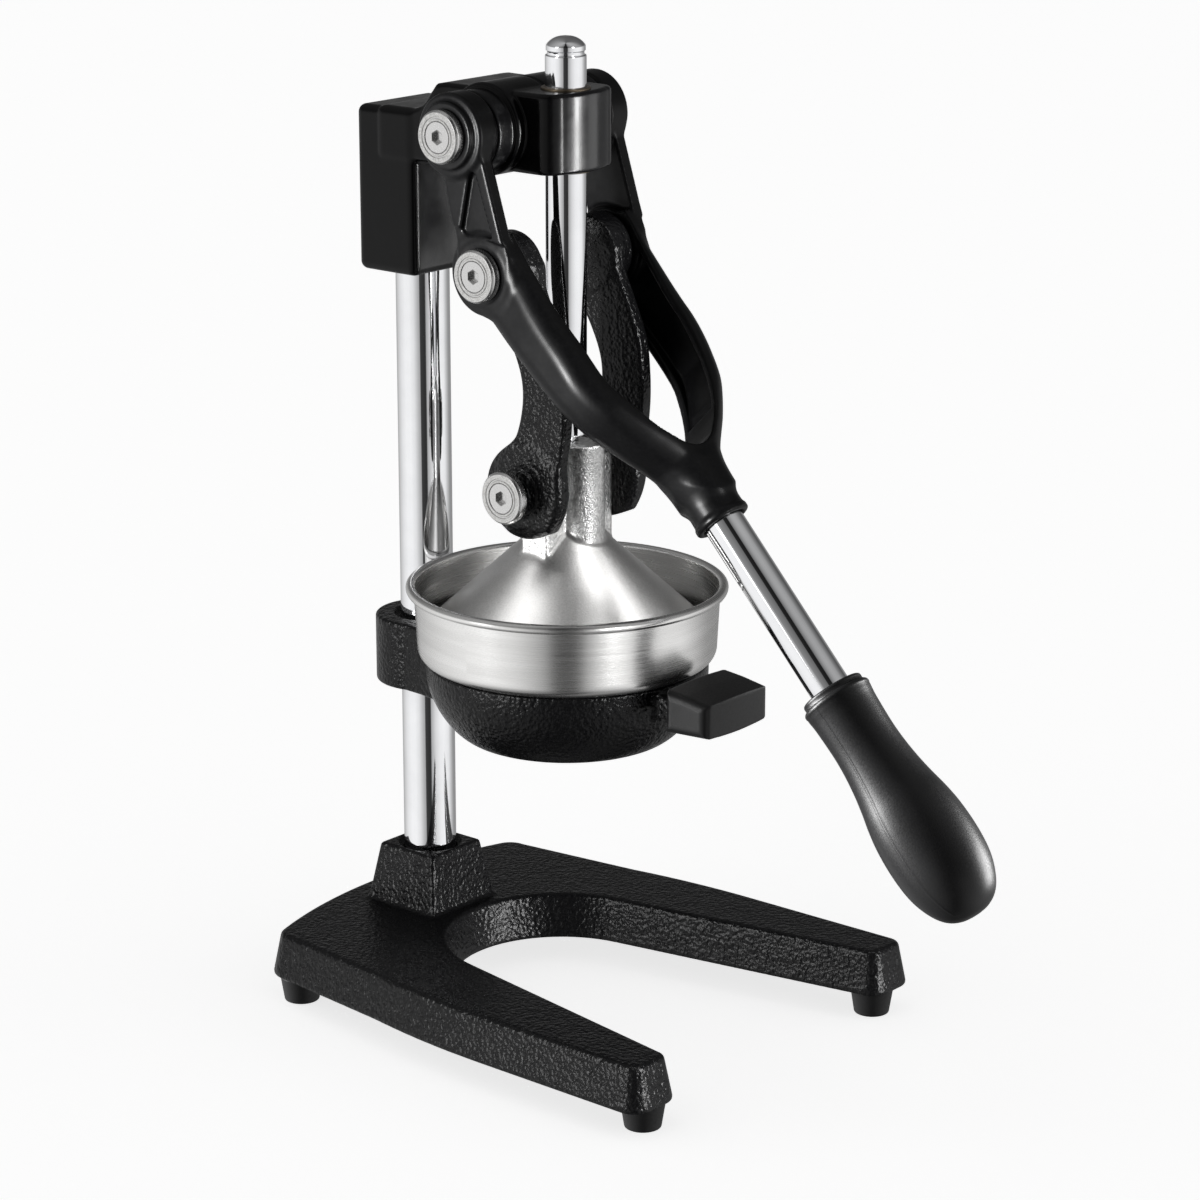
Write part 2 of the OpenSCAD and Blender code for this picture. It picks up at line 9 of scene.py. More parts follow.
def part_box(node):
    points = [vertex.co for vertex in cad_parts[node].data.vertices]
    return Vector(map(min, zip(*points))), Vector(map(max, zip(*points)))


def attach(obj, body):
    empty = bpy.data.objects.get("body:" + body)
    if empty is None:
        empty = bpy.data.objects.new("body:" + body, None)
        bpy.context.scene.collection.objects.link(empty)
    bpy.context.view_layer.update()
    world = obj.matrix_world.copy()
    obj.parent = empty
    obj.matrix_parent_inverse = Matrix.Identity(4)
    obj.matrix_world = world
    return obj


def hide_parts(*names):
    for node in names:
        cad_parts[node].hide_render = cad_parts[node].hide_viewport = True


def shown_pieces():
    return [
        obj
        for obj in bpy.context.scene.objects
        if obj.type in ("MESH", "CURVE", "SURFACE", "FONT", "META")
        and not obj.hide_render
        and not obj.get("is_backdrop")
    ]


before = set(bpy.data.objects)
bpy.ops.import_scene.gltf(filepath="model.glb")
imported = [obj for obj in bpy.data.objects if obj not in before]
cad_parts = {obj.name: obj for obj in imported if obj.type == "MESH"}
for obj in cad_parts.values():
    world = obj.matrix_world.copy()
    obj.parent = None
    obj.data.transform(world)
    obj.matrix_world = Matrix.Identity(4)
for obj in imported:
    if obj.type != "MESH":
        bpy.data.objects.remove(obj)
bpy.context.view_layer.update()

# Sizes are millimetres, measured from the press rod's axis (x = y = 0) and the table (z = 0).
# The rod's place in the frame is the middle of the CAD rod.
rod_low, rod_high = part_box("rod")
ROD_Y = 500 * (rod_low.y + rod_high.y)
MM = 0.001
FINE = 1.0

P1 = (21.2, 366.0)                      # lever's pivot on the head, as (y, z)
P2 = (8.0, 312.8)                       # links' pivot on the lever
P3 = (0.6, 224.6)                       # links' pivot on the press cone
POST_Y = 77.0
POST_R = 11.0
ROD_R = 8.1
TUBE_R = 8.15
CONE_TIP, CONE_SLOPE, CONE_R = 217.0, 0.916, 56.0
FOOT_H, BASE_TOP = 10.7, 29.3
SOCKET_TOP = 54.0
GUIDE_LOW, GUIDE_TOP = 349, 382         # the head's rod guide
PIN_R, PIN3_R = 6, 5                    # pins of P1 and P2, and of P3
MOUTH = (-79.6, 221.0)                  # mouth of the yoke's socket, as (y, z)
TILT = math.radians(137.2)              # the handle's axis, from straight up towards the front
ALONG = (-math.sin(TILT), math.cos(TILT))


# ---------------------------------------------------------------- outlines

def arc(a, b, c, n=12):
    """Points of the arc from a through b to c."""
    a, b, c = (np.array(q, float) for q in (a, b, c))
    m = np.linalg.solve(2 * np.array([b - a, c - a]), [b @ b - a @ a, c @ c - a @ a])
    t0, tb, tc = (math.atan2(*(q - m)[::-1]) for q in (a, b, c))
    wrap = lambda t: (t + math.pi) % (2 * math.pi) - math.pi
    sweep = wrap(tb - t0) + wrap(tc - tb)
    r = np.linalg.norm(a - m)
    return [tuple(m + r * np.array([math.cos(t0 + sweep * i / n), math.sin(t0 + sweep * i / n)]))
            for i in range(n + 1)]


def flow(points, n=6):
    """A smooth open line through the points."""
    q = np.array([points[0], *points, points[-1]], float)
    out = []
    for i in range(1, len(q) - 2):
        for t in np.arange(n) / n:
            out.append(0.5 * ((2 * q[i]) + (q[i + 1] - q[i - 1]) * t
                              + (2 * q[i - 1] - 5 * q[i] + 4 * q[i + 1] - q[i + 2]) * t * t
                              + (3 * q[i] - q[i - 1] - 3 * q[i + 1] + q[i + 2]) * t ** 3))
    return [tuple(v) for v in out] + [tuple(q[-1])]


def mirrored(side):
    """A closed outline from its +X side."""
    return list(side) + [(-a, b) for a, b in reversed(side) if a > 1e-6]


class Outline:
    """Signed distance to a closed outline, negative inside, looked up in a fine table."""

    def __init__(self, points, step=0.4, margin=16):
        pts = np.array(points, float)
        self.lo = pts.min(0) - margin
        self.step = step
        n = np.ceil((pts.max(0) + margin - self.lo) / step).astype(int) + 1
        u, v = np.meshgrid(*(self.lo[i] + step * np.arange(n[i]) for i in (0, 1)), indexing="ij")
        best = np.full(u.shape, 1e9)
        inside = np.zeros(u.shape, bool)
        for a, b in zip(pts, np.roll(pts, -1, 0)):
            e = b - a
            if e @ e < 1e-12:
                continue
            t = np.clip(((u - a[0]) * e[0] + (v - a[1]) * e[1]) / (e @ e), 0, 1)
            best = np.minimum(best, (u - a[0] - t * e[0]) ** 2 + (v - a[1] - t * e[1]) ** 2)
            if a[1] != b[1]:
                crosses = ((a[1] > v) != (b[1] > v)) & (u < e[0] * (v - a[1]) / e[1] + a[0])
                inside ^= crosses
        self.table = np.where(inside, -1, 1) * np.sqrt(best)

    def __call__(self, u, v):
        n = self.table.shape
        i = np.clip((u - self.lo[0]) / self.step, 0, n[0] - 1.001)
        j = np.clip((v - self.lo[1]) / self.step, 0, n[1] - 1.001)
        a, b = i.astype(int), j.astype(int)
        s, t = i - a, j - b
        f = self.table
        return ((1 - s) * (1 - t) * f[a, b] + s * (1 - t) * f[a + 1, b]
                + (1 - s) * t * f[a, b + 1] + s * t * f[a + 1, b + 1])


# ---------------------------------------------------------------- solid shapes as distances

def fillet(a, b, r):
    """The union of two shapes with a fillet of radius r where they meet."""
    return np.maximum(r, np.minimum(a, b)) - np.hypot(np.maximum(r - a, 0), np.maximum(r - b, 0))


def crop(a, b, r):
    """What two shapes share, its edge rounded to radius r."""
    return np.minimum(-r, np.maximum(a, b)) + np.hypot(np.maximum(r + a, 0), np.maximum(r + b, 0))


def cut(a, b, r):
    """Shape a without shape b, the edge rounded to radius r."""
    return crop(a, -b, r)


def bar(v, low, high):
    """Distance to the slab from low to high along v."""
    return np.abs(v - (low + high) / 2) - (high - low) / 2


def disc(y, z, centre, r):
    return np.hypot(y - centre[0], z - centre[1]) - r


def block(x, y, z, centre, half, r):
    """A box with all its edges rounded to r."""
    q = [np.abs(v - c) - h + r for v, c, h in zip((x, y, z), centre, half)]
    outside = np.sqrt(sum(np.maximum(v, 0) ** 2 for v in q))
    return outside + np.minimum(np.maximum.reduce(q), 0) - r


def solid_mesh(name, shape, low, high, cell):
    """A mesh of shape(x, y, z) <= 0 by surface nets, its points then moved onto the surface.

    Blocks of the grid that lie far from the surface are only marked as inside or outside.
    """
    cell = cell * FINE
    low, high = np.array(low, float), np.array(high, float)
    block_n = 6
    blocks = np.ceil((high - low) / cell / block_n).astype(int)
    n = blocks * block_n + 1
    centres = [low[i] + cell * block_n * (np.arange(blocks[i]) + 0.5) for i in range(3)]
    bx, by, bz = np.meshgrid(*centres, indexing="ij")
    rough = shape(bx.ravel(), by.ravel(), bz.ravel()).reshape(bx.shape)
    near = np.abs(rough) < block_n * cell * 1.15 + 1.5
    grown = np.ones(3, int) * block_n
    spread = lambda v: np.kron(v, np.ones(grown, v.dtype))
    value = np.ones(n)
    value[:-1, :-1, :-1] = np.where(spread((rough < 0).astype(np.int8)) > 0, -9.0, 9.0)
    wanted = np.zeros(n, bool)
    fine = spread(near.astype(np.int8)) > 0
    for i in (0, 1):
        for j in (0, 1):
            for k in (0, 1):
                wanted[i:i + fine.shape[0], j:j + fine.shape[1], k:k + fine.shape[2]] |= fine
    at = np.argwhere(wanted)
    p = low + at * cell
    value[wanted] = shape(p[:, 0], p[:, 1], p[:, 2])

    corner = np.array([(i, j, k) for i in (0, 1) for j in (0, 1) for k in (0, 1)])
    size = np.array(n) - 1
    part = lambda c: tuple(slice(c[i], c[i] + size[i]) for i in range(3))
    inside = sum((value[part(c)] < 0).astype(np.int8) for c in corner)
    cells = np.argwhere((inside > 0) & (inside < 8))
    v8 = np.stack([value[tuple((cells + c).T)] for c in corner], 1)
    total, count = np.zeros((len(cells), 3)), np.zeros(len(cells))
    for a in range(8):
        for b in range(a + 1, 8):
            if np.abs(corner[a] - corner[b]).sum() != 1:
                continue
            hit = (v8[:, a] < 0) != (v8[:, b] < 0)
            t = v8[hit, a] / (v8[hit, a] - v8[hit, b])
            total[hit] += corner[a] + t[:, None] * (corner[b] - corner[a])
            count[hit] += 1
    points = low + (cells + total / count[:, None]) * cell
    index = np.full(size, -1)
    index[tuple(cells.T)] = np.arange(len(cells))

    quads = []
    for axis in range(3):
        u, w = (axis + 1) % 3, (axis + 2) % 3
        first = [slice(1, -1)] * 3
        first[axis] = slice(0, -1)
        second = list(first)
        second[axis] = slice(1, None)
        a, b = value[tuple(first)] < 0, value[tuple(second)] < 0
        for sign in (True, False):
            edge = np.argwhere(a & ~b if sign else ~a & b)
            edge[:, u] += 1
            edge[:, w] += 1
            steps = ((0, 0), (-1, 0), (-1, -1), (0, -1))
            ring = []
            for du, dw in steps:
                c = edge.copy()
                c[:, u] += du
                c[:, w] += dw
                ring.append(index[tuple(c.T)])
            quads.append(np.stack(ring if sign else ring[::-1], 1))
    quads = np.concatenate(quads)
    quads = quads[(quads >= 0).all(1)]

    probe = 0.02
    for _ in range(4):
        d = shape(*points.T)
        slope = np.stack([(shape(*(points + probe * e).T) - shape(*(points - probe * e).T)) / (2 * probe)
                          for e in np.eye(3)], 1)
        step = d[:, None] * slope / np.maximum((slope ** 2).sum(1), 0.2)[:, None]
        points = points - np.clip(step, -cell, cell)
    return make_mesh(name, points, quads)


# ---------------------------------------------------------------- Blender meshes

def make_mesh(name, points, faces):
    """An object from points in millimetres about the rod's axis."""
    mesh = bpy.data.meshes.new(name)
    co = (np.array(points, float) + [0, ROD_Y, 0]) * MM
    mesh.from_pydata(co.tolist(), [], [list(map(int, f)) for f in faces])
    mesh.update()
    obj = bpy.data.objects.new(name, mesh)
    bpy.context.scene.collection.objects.link(obj)
    mesh.polygons.foreach_set("use_smooth", [True] * len(mesh.polygons))
    return obj


def turned(profile, segments=128, wobble=None):
    """Points and faces of a profile [(r, h)] turned about the third axis."""
    profile = [(max(r, 0.0), h) for r, h in profile]
    angle = 2 * np.pi * np.arange(segments) / segments
    points, rings = [], []
    for r, h in profile:
        if r < 1e-6:
            rings.append([len(points)] * segments)
            points.append((0, 0, h))
        else:
            rings.append(list(range(len(points), len(points) + segments)))
            rr = r + (wobble(angle, h) if wobble else 0 * angle)
            points += [(a * math.cos(t), a * math.sin(t), h) for a, t in zip(rr, angle)]
    faces = []
    for a, b in zip(rings, rings[1:] + rings[:1]):
        for i in range(segments):
            j = (i + 1) % segments
            f = [a[i], a[j], b[j], b[i]]
            f = [v for k, v in enumerate(f) if v != f[k - 1]]
            if len(f) > 2:
                faces.append(f)
    return points, faces


def placed(points, matrix):
    return [tuple(matrix @ Vector(p)) for p in points]


def joined(parts):
    """One list of points and faces from several."""
    points, faces = [], []
    for p, f in parts:
        base = len(points)
        points += list(p)
        faces += [[v + base for v in g] for g in f]
    return points, faces


def outward(obj):
    """Makes the faces look outward."""
    bm = bmesh.new()
    bm.from_mesh(obj.data)
    bmesh.ops.remove_doubles(bm, verts=bm.verts, dist=1e-7)
    bmesh.ops.recalc_face_normals(bm, faces=bm.faces)
    bm.to_mesh(obj.data)
    bm.free()
    return obj


def crisp(obj, degrees=32):
    """Smooth shading with hard edges where faces meet at more than an angle."""
    outward(obj)
    obj.data.polygons.foreach_set("use_smooth", [True] * len(obj.data.polygons))
    obj.data.set_sharp_from_angle(angle=math.radians(degrees))
    weigh = obj.modifiers.new("even_normals", "WEIGHTED_NORMAL")
    weigh.keep_sharp = True
    return obj


def softened(profile, r, n=4):
    """A profile with each of its corners cut to a small round of radius r. A point (r, h, 0) stays sharp."""
    out = []
    count = len(profile)
    for i, p in enumerate(profile):
        here = np.array(p[:2], float)
        keep = len(p) > 2
        before = np.array(profile[i - 1][:2], float) - here
        after = np.array(profile[(i + 1) % count][:2], float) - here
        lb, la = np.linalg.norm(before), np.linalg.norm(after)
        if keep or lb < 1e-9 or la < 1e-9:
            out.append(tuple(here))
            continue
        reach = min(r, lb * 0.45, la * 0.45)
        a, b = here + before / lb * reach, here + after / la * reach
        for t in np.linspace(0, 1, n + 1):
            out.append(tuple((1 - t) ** 2 * a + 2 * t * (1 - t) * here + t * t * b))
    return out


def side_matrix(pivot, side):
    """From a part drawn along +Z to one that lies along the pivot on the +X or -X side."""
    turn = Matrix.Rotation(math.radians(90 * side), 4, "Y")
    return Matrix.Translation((0, pivot[0], pivot[1])) @ turn


def handle_matrix():
    """From a part drawn along +Z to the handle's axis, its origin at the socket's mouth."""
    return Matrix.Translation((0, MOUTH[0], MOUTH[1])) @ Matrix.Rotation(TILT, 4, "X")


def upright(x, y, z):
    return Matrix.Translation((x, y, z))


def finish_piece(obj, material, body, nodes):
    obj.data.materials.append(material)
    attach(obj, body)
    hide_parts(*nodes)
    return obj


# ---------------------------------------------------------------- materials

class Nodes:
    """A Principled material with short calls for its nodes. Object coordinates are in metres."""

    def __init__(self, name, color, roughness, metallic=0.0, **settings):
        self.material = bpy.data.materials.new(name)
        self.material.use_nodes = True
        self.tree = self.material.node_tree
        self.shader = self.tree.nodes["Principled BSDF"]
        self.shader.inputs["Base Color"].default_value = (*color, 1)
        self.shader.inputs["Roughness"].default_value = roughness
        self.shader.inputs["Metallic"].default_value = metallic
        for key, v in settings.items():
            self.shader.inputs[key.replace("_", " ")].default_value = v
        self.coords = self.add("ShaderNodeTexCoord").outputs["Object"]

    def add(self, kind, **inputs):
        node = self.tree.nodes.new(kind)
        for key, v in inputs.items():
            self.plug(v, node.inputs[key.replace("_", " ")])
        return node

    def plug(self, v, socket):
        if isinstance(v, bpy.types.NodeSocket):
            self.tree.links.new(v, socket)
        else:
            socket.default_value = v

    def math(self, op, a, b=0.0, c=0.0):
        node = self.tree.nodes.new("ShaderNodeMath")
        node.operation = op
        for socket, v in zip(node.inputs, (a, b, c)):
            self.plug(v, socket)
        return node.outputs[0]

    def noise(self, scale, detail=2.0, roughness=0.5, vector=None):
        node = self.add("ShaderNodeTexNoise", Scale=scale, Detail=detail, Roughness=roughness)
        self.plug(vector or self.coords, node.inputs["Vector"])
        return node.outputs["Fac"]

    def cells(self, scale, smooth):
        node = self.tree.nodes.new("ShaderNodeTexVoronoi")
        node.feature = "SMOOTH_F1"
        self.plug(scale, node.inputs["Scale"])
        self.plug(smooth, node.inputs["Smoothness"])
        self.plug(self.coords, node.inputs["Vector"])
        return node.outputs["Distance"]

    def ramp(self, fac, low, high, a=0.0, b=1.0):
        node = self.tree.nodes.new("ShaderNodeMapRange")
        node.clamp = True
        for key, v in (("Value", fac), ("From Min", low), ("From Max", high), ("To Min", a), ("To Max", b)):
            self.plug(v, node.inputs[key])
        return node.outputs["Result"]

    def mix(self, fac, a, b):
        node = self.tree.nodes.new("ShaderNodeMix")
        node.data_type = "RGBA"
        self.plug(fac, node.inputs["Factor"])
        self.plug((*a, 1) if isinstance(a, tuple) else a, node.inputs["A"])
        self.plug((*b, 1) if isinstance(b, tuple) else b, node.inputs["B"])
        return node.outputs["Result"]

    def split(self):
        node = self.add("ShaderNodeSeparateXYZ")
        self.plug(self.coords, node.inputs[0])
        return node.outputs

    def join(self, x, y, z):
        node = self.add("ShaderNodeCombineXYZ")
        for socket, v in zip(node.inputs, (x, y, z)):
            self.plug(v, socket)
        return node.outputs[0]

    def bump(self, height, depth_mm, strength):
        node = self.add("ShaderNodeBump", Strength=strength, Distance=depth_mm * MM)
        self.plug(height, node.inputs["Height"])
        return node.outputs["Normal"]

    def set(self, **inputs):
        for key, v in inputs.items():
            self.plug(v, self.shader.inputs[key.replace("_", " ")])
        return self

    def around(self):
        """Radius from, and angle about, the press rod's axis, and the height, in metres."""
        x, yy, z = self.split()
        yy = self.math("SUBTRACT", yy, ROD_Y * MM)
        r = self.math("SQRT", self.math("ADD", self.math("MULTIPLY", x, x), self.math("MULTIPLY", yy, yy)))
        return r, self.math("ARCTAN2", yy, x), z


def hammered_black():
    """Thick black enamel on a rough casting: rounded pits about a millimetre wide, with a wet gloss."""
    m = Nodes("hammered_black_enamel", (0.0024, 0.0024, 0.0026), 0.2, Specular_IOR_Level=0.17)
    warp = m.noise(160, 2)
    pits = m.cells(640, 0.85)
    lumps = m.noise(520, 3, 0.55)
    fine = m.noise(1500, 2, 0.5)
    height = m.math("ADD", m.math("MULTIPLY", pits, 0.9), m.math("MULTIPLY", lumps, 1.0))
    height = m.math("ADD", height, m.math("MULTIPLY", fine, 0.16))
    height = m.math("ADD", height, m.math("MULTIPLY", warp, 0.7))
    m.set(Roughness=m.ramp(lumps, 0.35, 0.7, 0.16, 0.3), Normal=m.bump(height, 0.7, 0.62))
    m.set(Base_Color=m.mix(m.ramp(fine, 0.4, 0.75), (0.002, 0.002, 0.0022), (0.0036, 0.0036, 0.0039)))
    return m.material


def smooth_black(name, low, high):
    """Smooth black paint on a good casting: faint waves in a deep gloss of the given roughness."""
    m = Nodes(name, (0.0022, 0.0022, 0.0024), 0.22, Specular_IOR_Level=0.16)
    waves = m.noise(95, 2, 0.5)
    skin = m.noise(700, 2, 0.5)
    height = m.math("ADD", waves, m.math("MULTIPLY", skin, 0.1))
    m.set(Roughness=m.ramp(waves, 0.3, 0.7, low, high), Normal=m.bump(height, 0.5, 0.16))
    m.set(Base_Color=m.mix(m.ramp(skin, 0.4, 0.8), (0.0018, 0.0018, 0.002), (0.0034, 0.0034, 0.0037)))
    return m.material


def rubber_black(name, grain, color=(0.0045, 0.0045, 0.0048), roughness=0.36):
    """Matte moulded rubber with a fine grain and faint rubbed patches."""
    m = Nodes(name, color, roughness, Specular_IOR_Level=0.3)
    fine = m.noise(grain, 2, 0.6)
    patches = m.noise(45, 3, 0.6)
    lighter = tuple(1.5 * c for c in color)
    m.set(Base_Color=m.mix(m.ramp(patches, 0.35, 0.75), color, lighter))
    m.set(Roughness=m.ramp(fine, 0.3, 0.7, roughness - 0.05, roughness + 0.08))
    m.set(Normal=m.bump(fine, 0.1, 0.3))
    return m.material


def chrome_plate():
    """Bright chrome: a mirror with a trace of polishing marks."""
    m = Nodes("chrome_plate", (0.88, 0.885, 0.9), 0.05, 1.0)
    marks = m.noise(60, 3, 0.6)
    fine = m.noise(2600, 1, 0.5)
    m.set(Roughness=m.ramp(marks, 0.3, 0.75, 0.03, 0.1), Normal=m.bump(fine, 0.01, 0.1))
    m.set(Base_Color=m.mix(m.ramp(marks, 0.3, 0.8), (0.9, 0.905, 0.92), (0.82, 0.825, 0.84)))
    return m.material


def brushed_bowl():
    """Spun stainless sheet: fine rings of brushing about the bowl's axis, with soft broad shine."""
    m = Nodes("spun_stainless", (0.78, 0.775, 0.765), 0.25, 1.0)
    r, angle, z = m.around()
    lines = m.noise(1.0, 3, 0.75, vector=m.join(m.math("MULTIPLY", angle, 1.6), m.math("MULTIPLY", z, 2600),
                                                m.math("MULTIPLY", r, 2600)))
    broad = m.noise(1.0, 2, 0.5, vector=m.join(m.math("MULTIPLY", angle, 0.9), m.math("MULTIPLY", z, 260),
                                               m.math("MULTIPLY", r, 260)))
    m.set(Roughness=m.ramp(lines, 0.25, 0.75, 0.19, 0.32))
    m.set(Base_Color=m.mix(m.ramp(broad, 0.3, 0.7), (0.74, 0.735, 0.725), (0.84, 0.835, 0.825)))
    m.set(Normal=m.bump(lines, 0.05, 0.22))
    return m.material


def cone_metal():
    """Cast aluminium: a satin turned cone below, and a coarse sandblasted neck above it."""
    m = Nodes("cast_aluminium", (0.5, 0.495, 0.49), 0.35, 1.0)
    r, angle, z = m.around()
    surface = m.math("SUBTRACT", CONE_TIP * MM, m.math("MULTIPLY", r, CONE_SLOPE))
    neck = m.ramp(m.math("SUBTRACT", z, surface), 0.0008, 0.002)
    rings = m.noise(1.0, 3, 0.7, vector=m.join(m.math("MULTIPLY", angle, 1.2), m.math("MULTIPLY", z, 1500),
                                               m.math("MULTIPLY", r, 1500)))
    grit = m.noise(1500, 2, 0.6)
    blast = m.cells(1500, 0.5)
    pits = m.noise(620, 3, 0.6)
    rough_height = m.math("ADD", m.math("MULTIPLY", pits, 1.3), m.math("MULTIPLY", blast, 0.8))
    satin_height = m.math("ADD", m.math("MULTIPLY", rings, 0.12), m.math("MULTIPLY", grit, 0.16))
    height = m.math("ADD", m.math("MULTIPLY", rough_height, neck),
                    m.math("MULTIPLY", satin_height, m.math("SUBTRACT", 1.0, neck)))
    satin = m.ramp(grit, 0.3, 0.7, 0.3, 0.42)
    rough = m.ramp(pits, 0.3, 0.7, 0.3, 0.5)
    m.set(Roughness=m.math("ADD", m.math("MULTIPLY", rough, neck),
                           m.math("MULTIPLY", satin, m.math("SUBTRACT", 1.0, neck))))
    satin_color = m.mix(m.ramp(grit, 0.3, 0.7), (0.44, 0.437, 0.43), (0.56, 0.555, 0.548))
    rough_color = m.mix(m.ramp(pits, 0.3, 0.7), (0.42, 0.42, 0.42), (0.8, 0.8, 0.79))
    m.set(Base_Color=m.mix(neck, satin_color, rough_color), Normal=m.bump(height, 0.5, 0.5))
    return m.material


def grainy_disc():
    """The discs' faces: a fine sparkling grain with no direction."""
    m = Nodes("grainy_disc", (0.62, 0.615, 0.605), 0.45, 1.0)
    grain = m.noise(2300, 2, 0.7)
    blotch = m.noise(700, 2, 0.5)
    m.set(Roughness=m.ramp(blotch, 0.3, 0.7, 0.38, 0.55))
    m.set(Base_Color=m.mix(m.ramp(grain, 0.3, 0.7), (0.42, 0.415, 0.405), (0.86, 0.855, 0.84)))
    m.set(Normal=m.bump(grain, 0.12, 0.5))
    return m.material


def turned_steel():
    """Plain turned or plated steel for rims, pins and screws."""
    color = (0.7, 0.695, 0.69)
    m = Nodes("turned_steel", color, 0.22, 1.0)
    grain = m.noise(1800, 2, 0.6)
    darker = tuple(0.8 * c for c in color)
    m.set(Roughness=m.ramp(grain, 0.3, 0.7, 0.16, 0.3), Base_Color=m.mix(grain, darker, color))
    return m.material


def bronze():
    """Dull bearing bronze for the bushes."""
    m = Nodes("bearing_bronze", (0.2, 0.16, 0.11), 0.35, 1.0)
    grain = m.noise(900, 3, 0.6)
    m.set(Roughness=m.ramp(grain, 0.3, 0.7, 0.28, 0.45))
    m.set(Base_Color=m.mix(grain, (0.13, 0.105, 0.075), (0.24, 0.195, 0.14)))
    return m.material


HAMMERED = hammered_black()
SMOOTH = smooth_black("smooth_black_paint", 0.18, 0.27)
SATIN = smooth_black("satin_black_paint", 0.3, 0.38)
CHROME = chrome_plate()
BOWL_STEEL = brushed_bowl()
CONE_METAL = cone_metal()
DISC_FACE = grainy_disc()
STEEL = turned_steel()
BRONZE = bronze()
GRIP_RUBBER = rubber_black("grip_rubber", 1500)
KNOB_RUBBER = rubber_black("knob_rubber", 1100, (0.005, 0.005, 0.0053), 0.4)
FOOT_RUBBER = rubber_black("foot_rubber", 900, (0.005, 0.005, 0.0053), 0.5)


# ---------------------------------------------------------------- lever

ARM_LOW = [(8, 295), (-1.3, 286.6), (-16, 273.6), (-29, 261.5), (-39, 251), (-47.5, 241.5),
           (-55.6, 231.5), (-64, 222.5)]
ARM_HIGH = [(-80, 236), (-71.5, 246), (-66.5, 254), (-62, 259.8), (-54, 268.9), (-45.5, 277.5),
            (-35.5, 289.6), (-28, 297.2), (-21, 305), (-9, 320), (-2, 330)]
YOKE_ARM = Outline(flow(ARM_LOW) + flow(ARM_HIGH) + [(10, 322), (18, 306)])
# The arms as seen square to their length: |x| against the distance from P2 towards the handle
YOKE_OUTER = Outline(mirrored(
    [(40.5, 30)]
    + flow([(40.5, 2), (41.6, -14), (42.4, -30), (42.4, -46), (41.6, -58), (39.4, -67), (35.8, -75),
            (31, -82), (25, -89.5), (19.2, -96), (14.6, -102), (11.4, -108), (10.4, -114)])
    + [(10.4, -130)]))
YOKE_INNER = Outline(mirrored(
    [(33.4, 60)]
    + flow([(33.4, -10), (32.8, -25), (32.2, -37), (31.6, -48), (30, -62), (27.4, -69.5), (24.4, -76),
            (20.6, -82.5), (16.4, -88), (11.4, -93)])
    + arc((11.4, -93), (6.6, -96.4), (0, -98), 6)[1:]))
ARM_FALL = math.radians(43.8)
YOKE_WEB = Outline(
    [(30, 362)] + flow([(29, 359), (27, 353), (24, 339), (20.5, 325.5), (19, 316)])
    + [(-6, 312), (-6.3, 321), (-2.7, 331.4), (7.3, 363.2)])
WEB_PANEL = Outline([(11.6, 357.5), (17.6, 329.5), (15, 327.2), (1.2, 327.8), (2.2, 331)])
HUB_IN, HUB_OUT, HUB_FACE = 33.4, 46.8, 44.4
HUB2_OUT, HUB2_FACE = 41.7, 40.5


def yoke_shape(x, y, z):
    ax = np.abs(x)
    hub1 = crop(disc(y, z, P1, 16.4), bar(ax, HUB_IN, HUB_FACE), 1.6)
    hub2 = crop(disc(y, z, P2, 16.4), bar(ax, HUB_IN, HUB2_FACE), 1.4)
    web = crop(YOKE_WEB(y, z), bar(ax, 36.6, 42.6), 1.2)
    web = cut(web, crop(WEB_PANEL(y, z), 40.0 - ax, 0.4), 0.5)
    web = cut(web, crop(z - 0.2 * y - 326.4, 41.2 - ax, 0.4), 0.6)

    side = YOKE_ARM(y, z)
    down = (y - P2[0]) * math.cos(ARM_FALL) + (z - P2[1]) * math.sin(ARM_FALL)
    inner = -YOKE_INNER(ax, down)
    arm = crop(crop(side, YOKE_OUTER(ax, down), 8.8), inner, 1.0)
    depth = np.interp(down, (-80, -62), (1.6, 4.2))
    channel = np.maximum(np.maximum(side + 3.5, -inner - depth), np.maximum(down + 12, -84 - down))
    arm = cut(arm, channel, 0.8)

    along = (y - MOUTH[0]) * ALONG[0] + (z - MOUTH[1]) * ALONG[1]
    offset = (y - MOUTH[0]) * ALONG[1] - (z - MOUTH[1]) * ALONG[0]
    r = np.hypot(x, offset)
    neck = crop(r - 10.5 - 0.4 * np.clip((along + 14) / 14, 0, 1), bar(along, -24, 0), 1.0)
    lip = crop(r - 11.4, bar(along, -2.6, 0), 0.7)
    body = fillet(arm, neck, 6)
    body = fillet(body, hub2, 3)
    body = fillet(body, web, 2)
    body = fillet(body, hub1, 2)
    body = fillet(body, crop(disc(y, z, P1, 13.2), bar(ax, HUB_IN, HUB_OUT), 0.8), 0.8)
    body = fillet(body, crop(disc(y, z, P2, 13.2), bar(ax, HUB_IN, HUB2_OUT), 0.6), 0.8)
    body = fillet(body, lip, 0.8)
    body = cut(body, crop(disc(y, z, P2, 11.4), HUB2_OUT - ax, 0.1), 0.3)
    body = cut(body, crop(r - 8.7, bar(along, -20, 12), 0.2), 0.5)
    return cut(body, crop(disc(y, z, P2, 17.9), bar(ax, 0, HUB_IN), 0.3), 0.8)


# ---------------------------------------------------------------- head

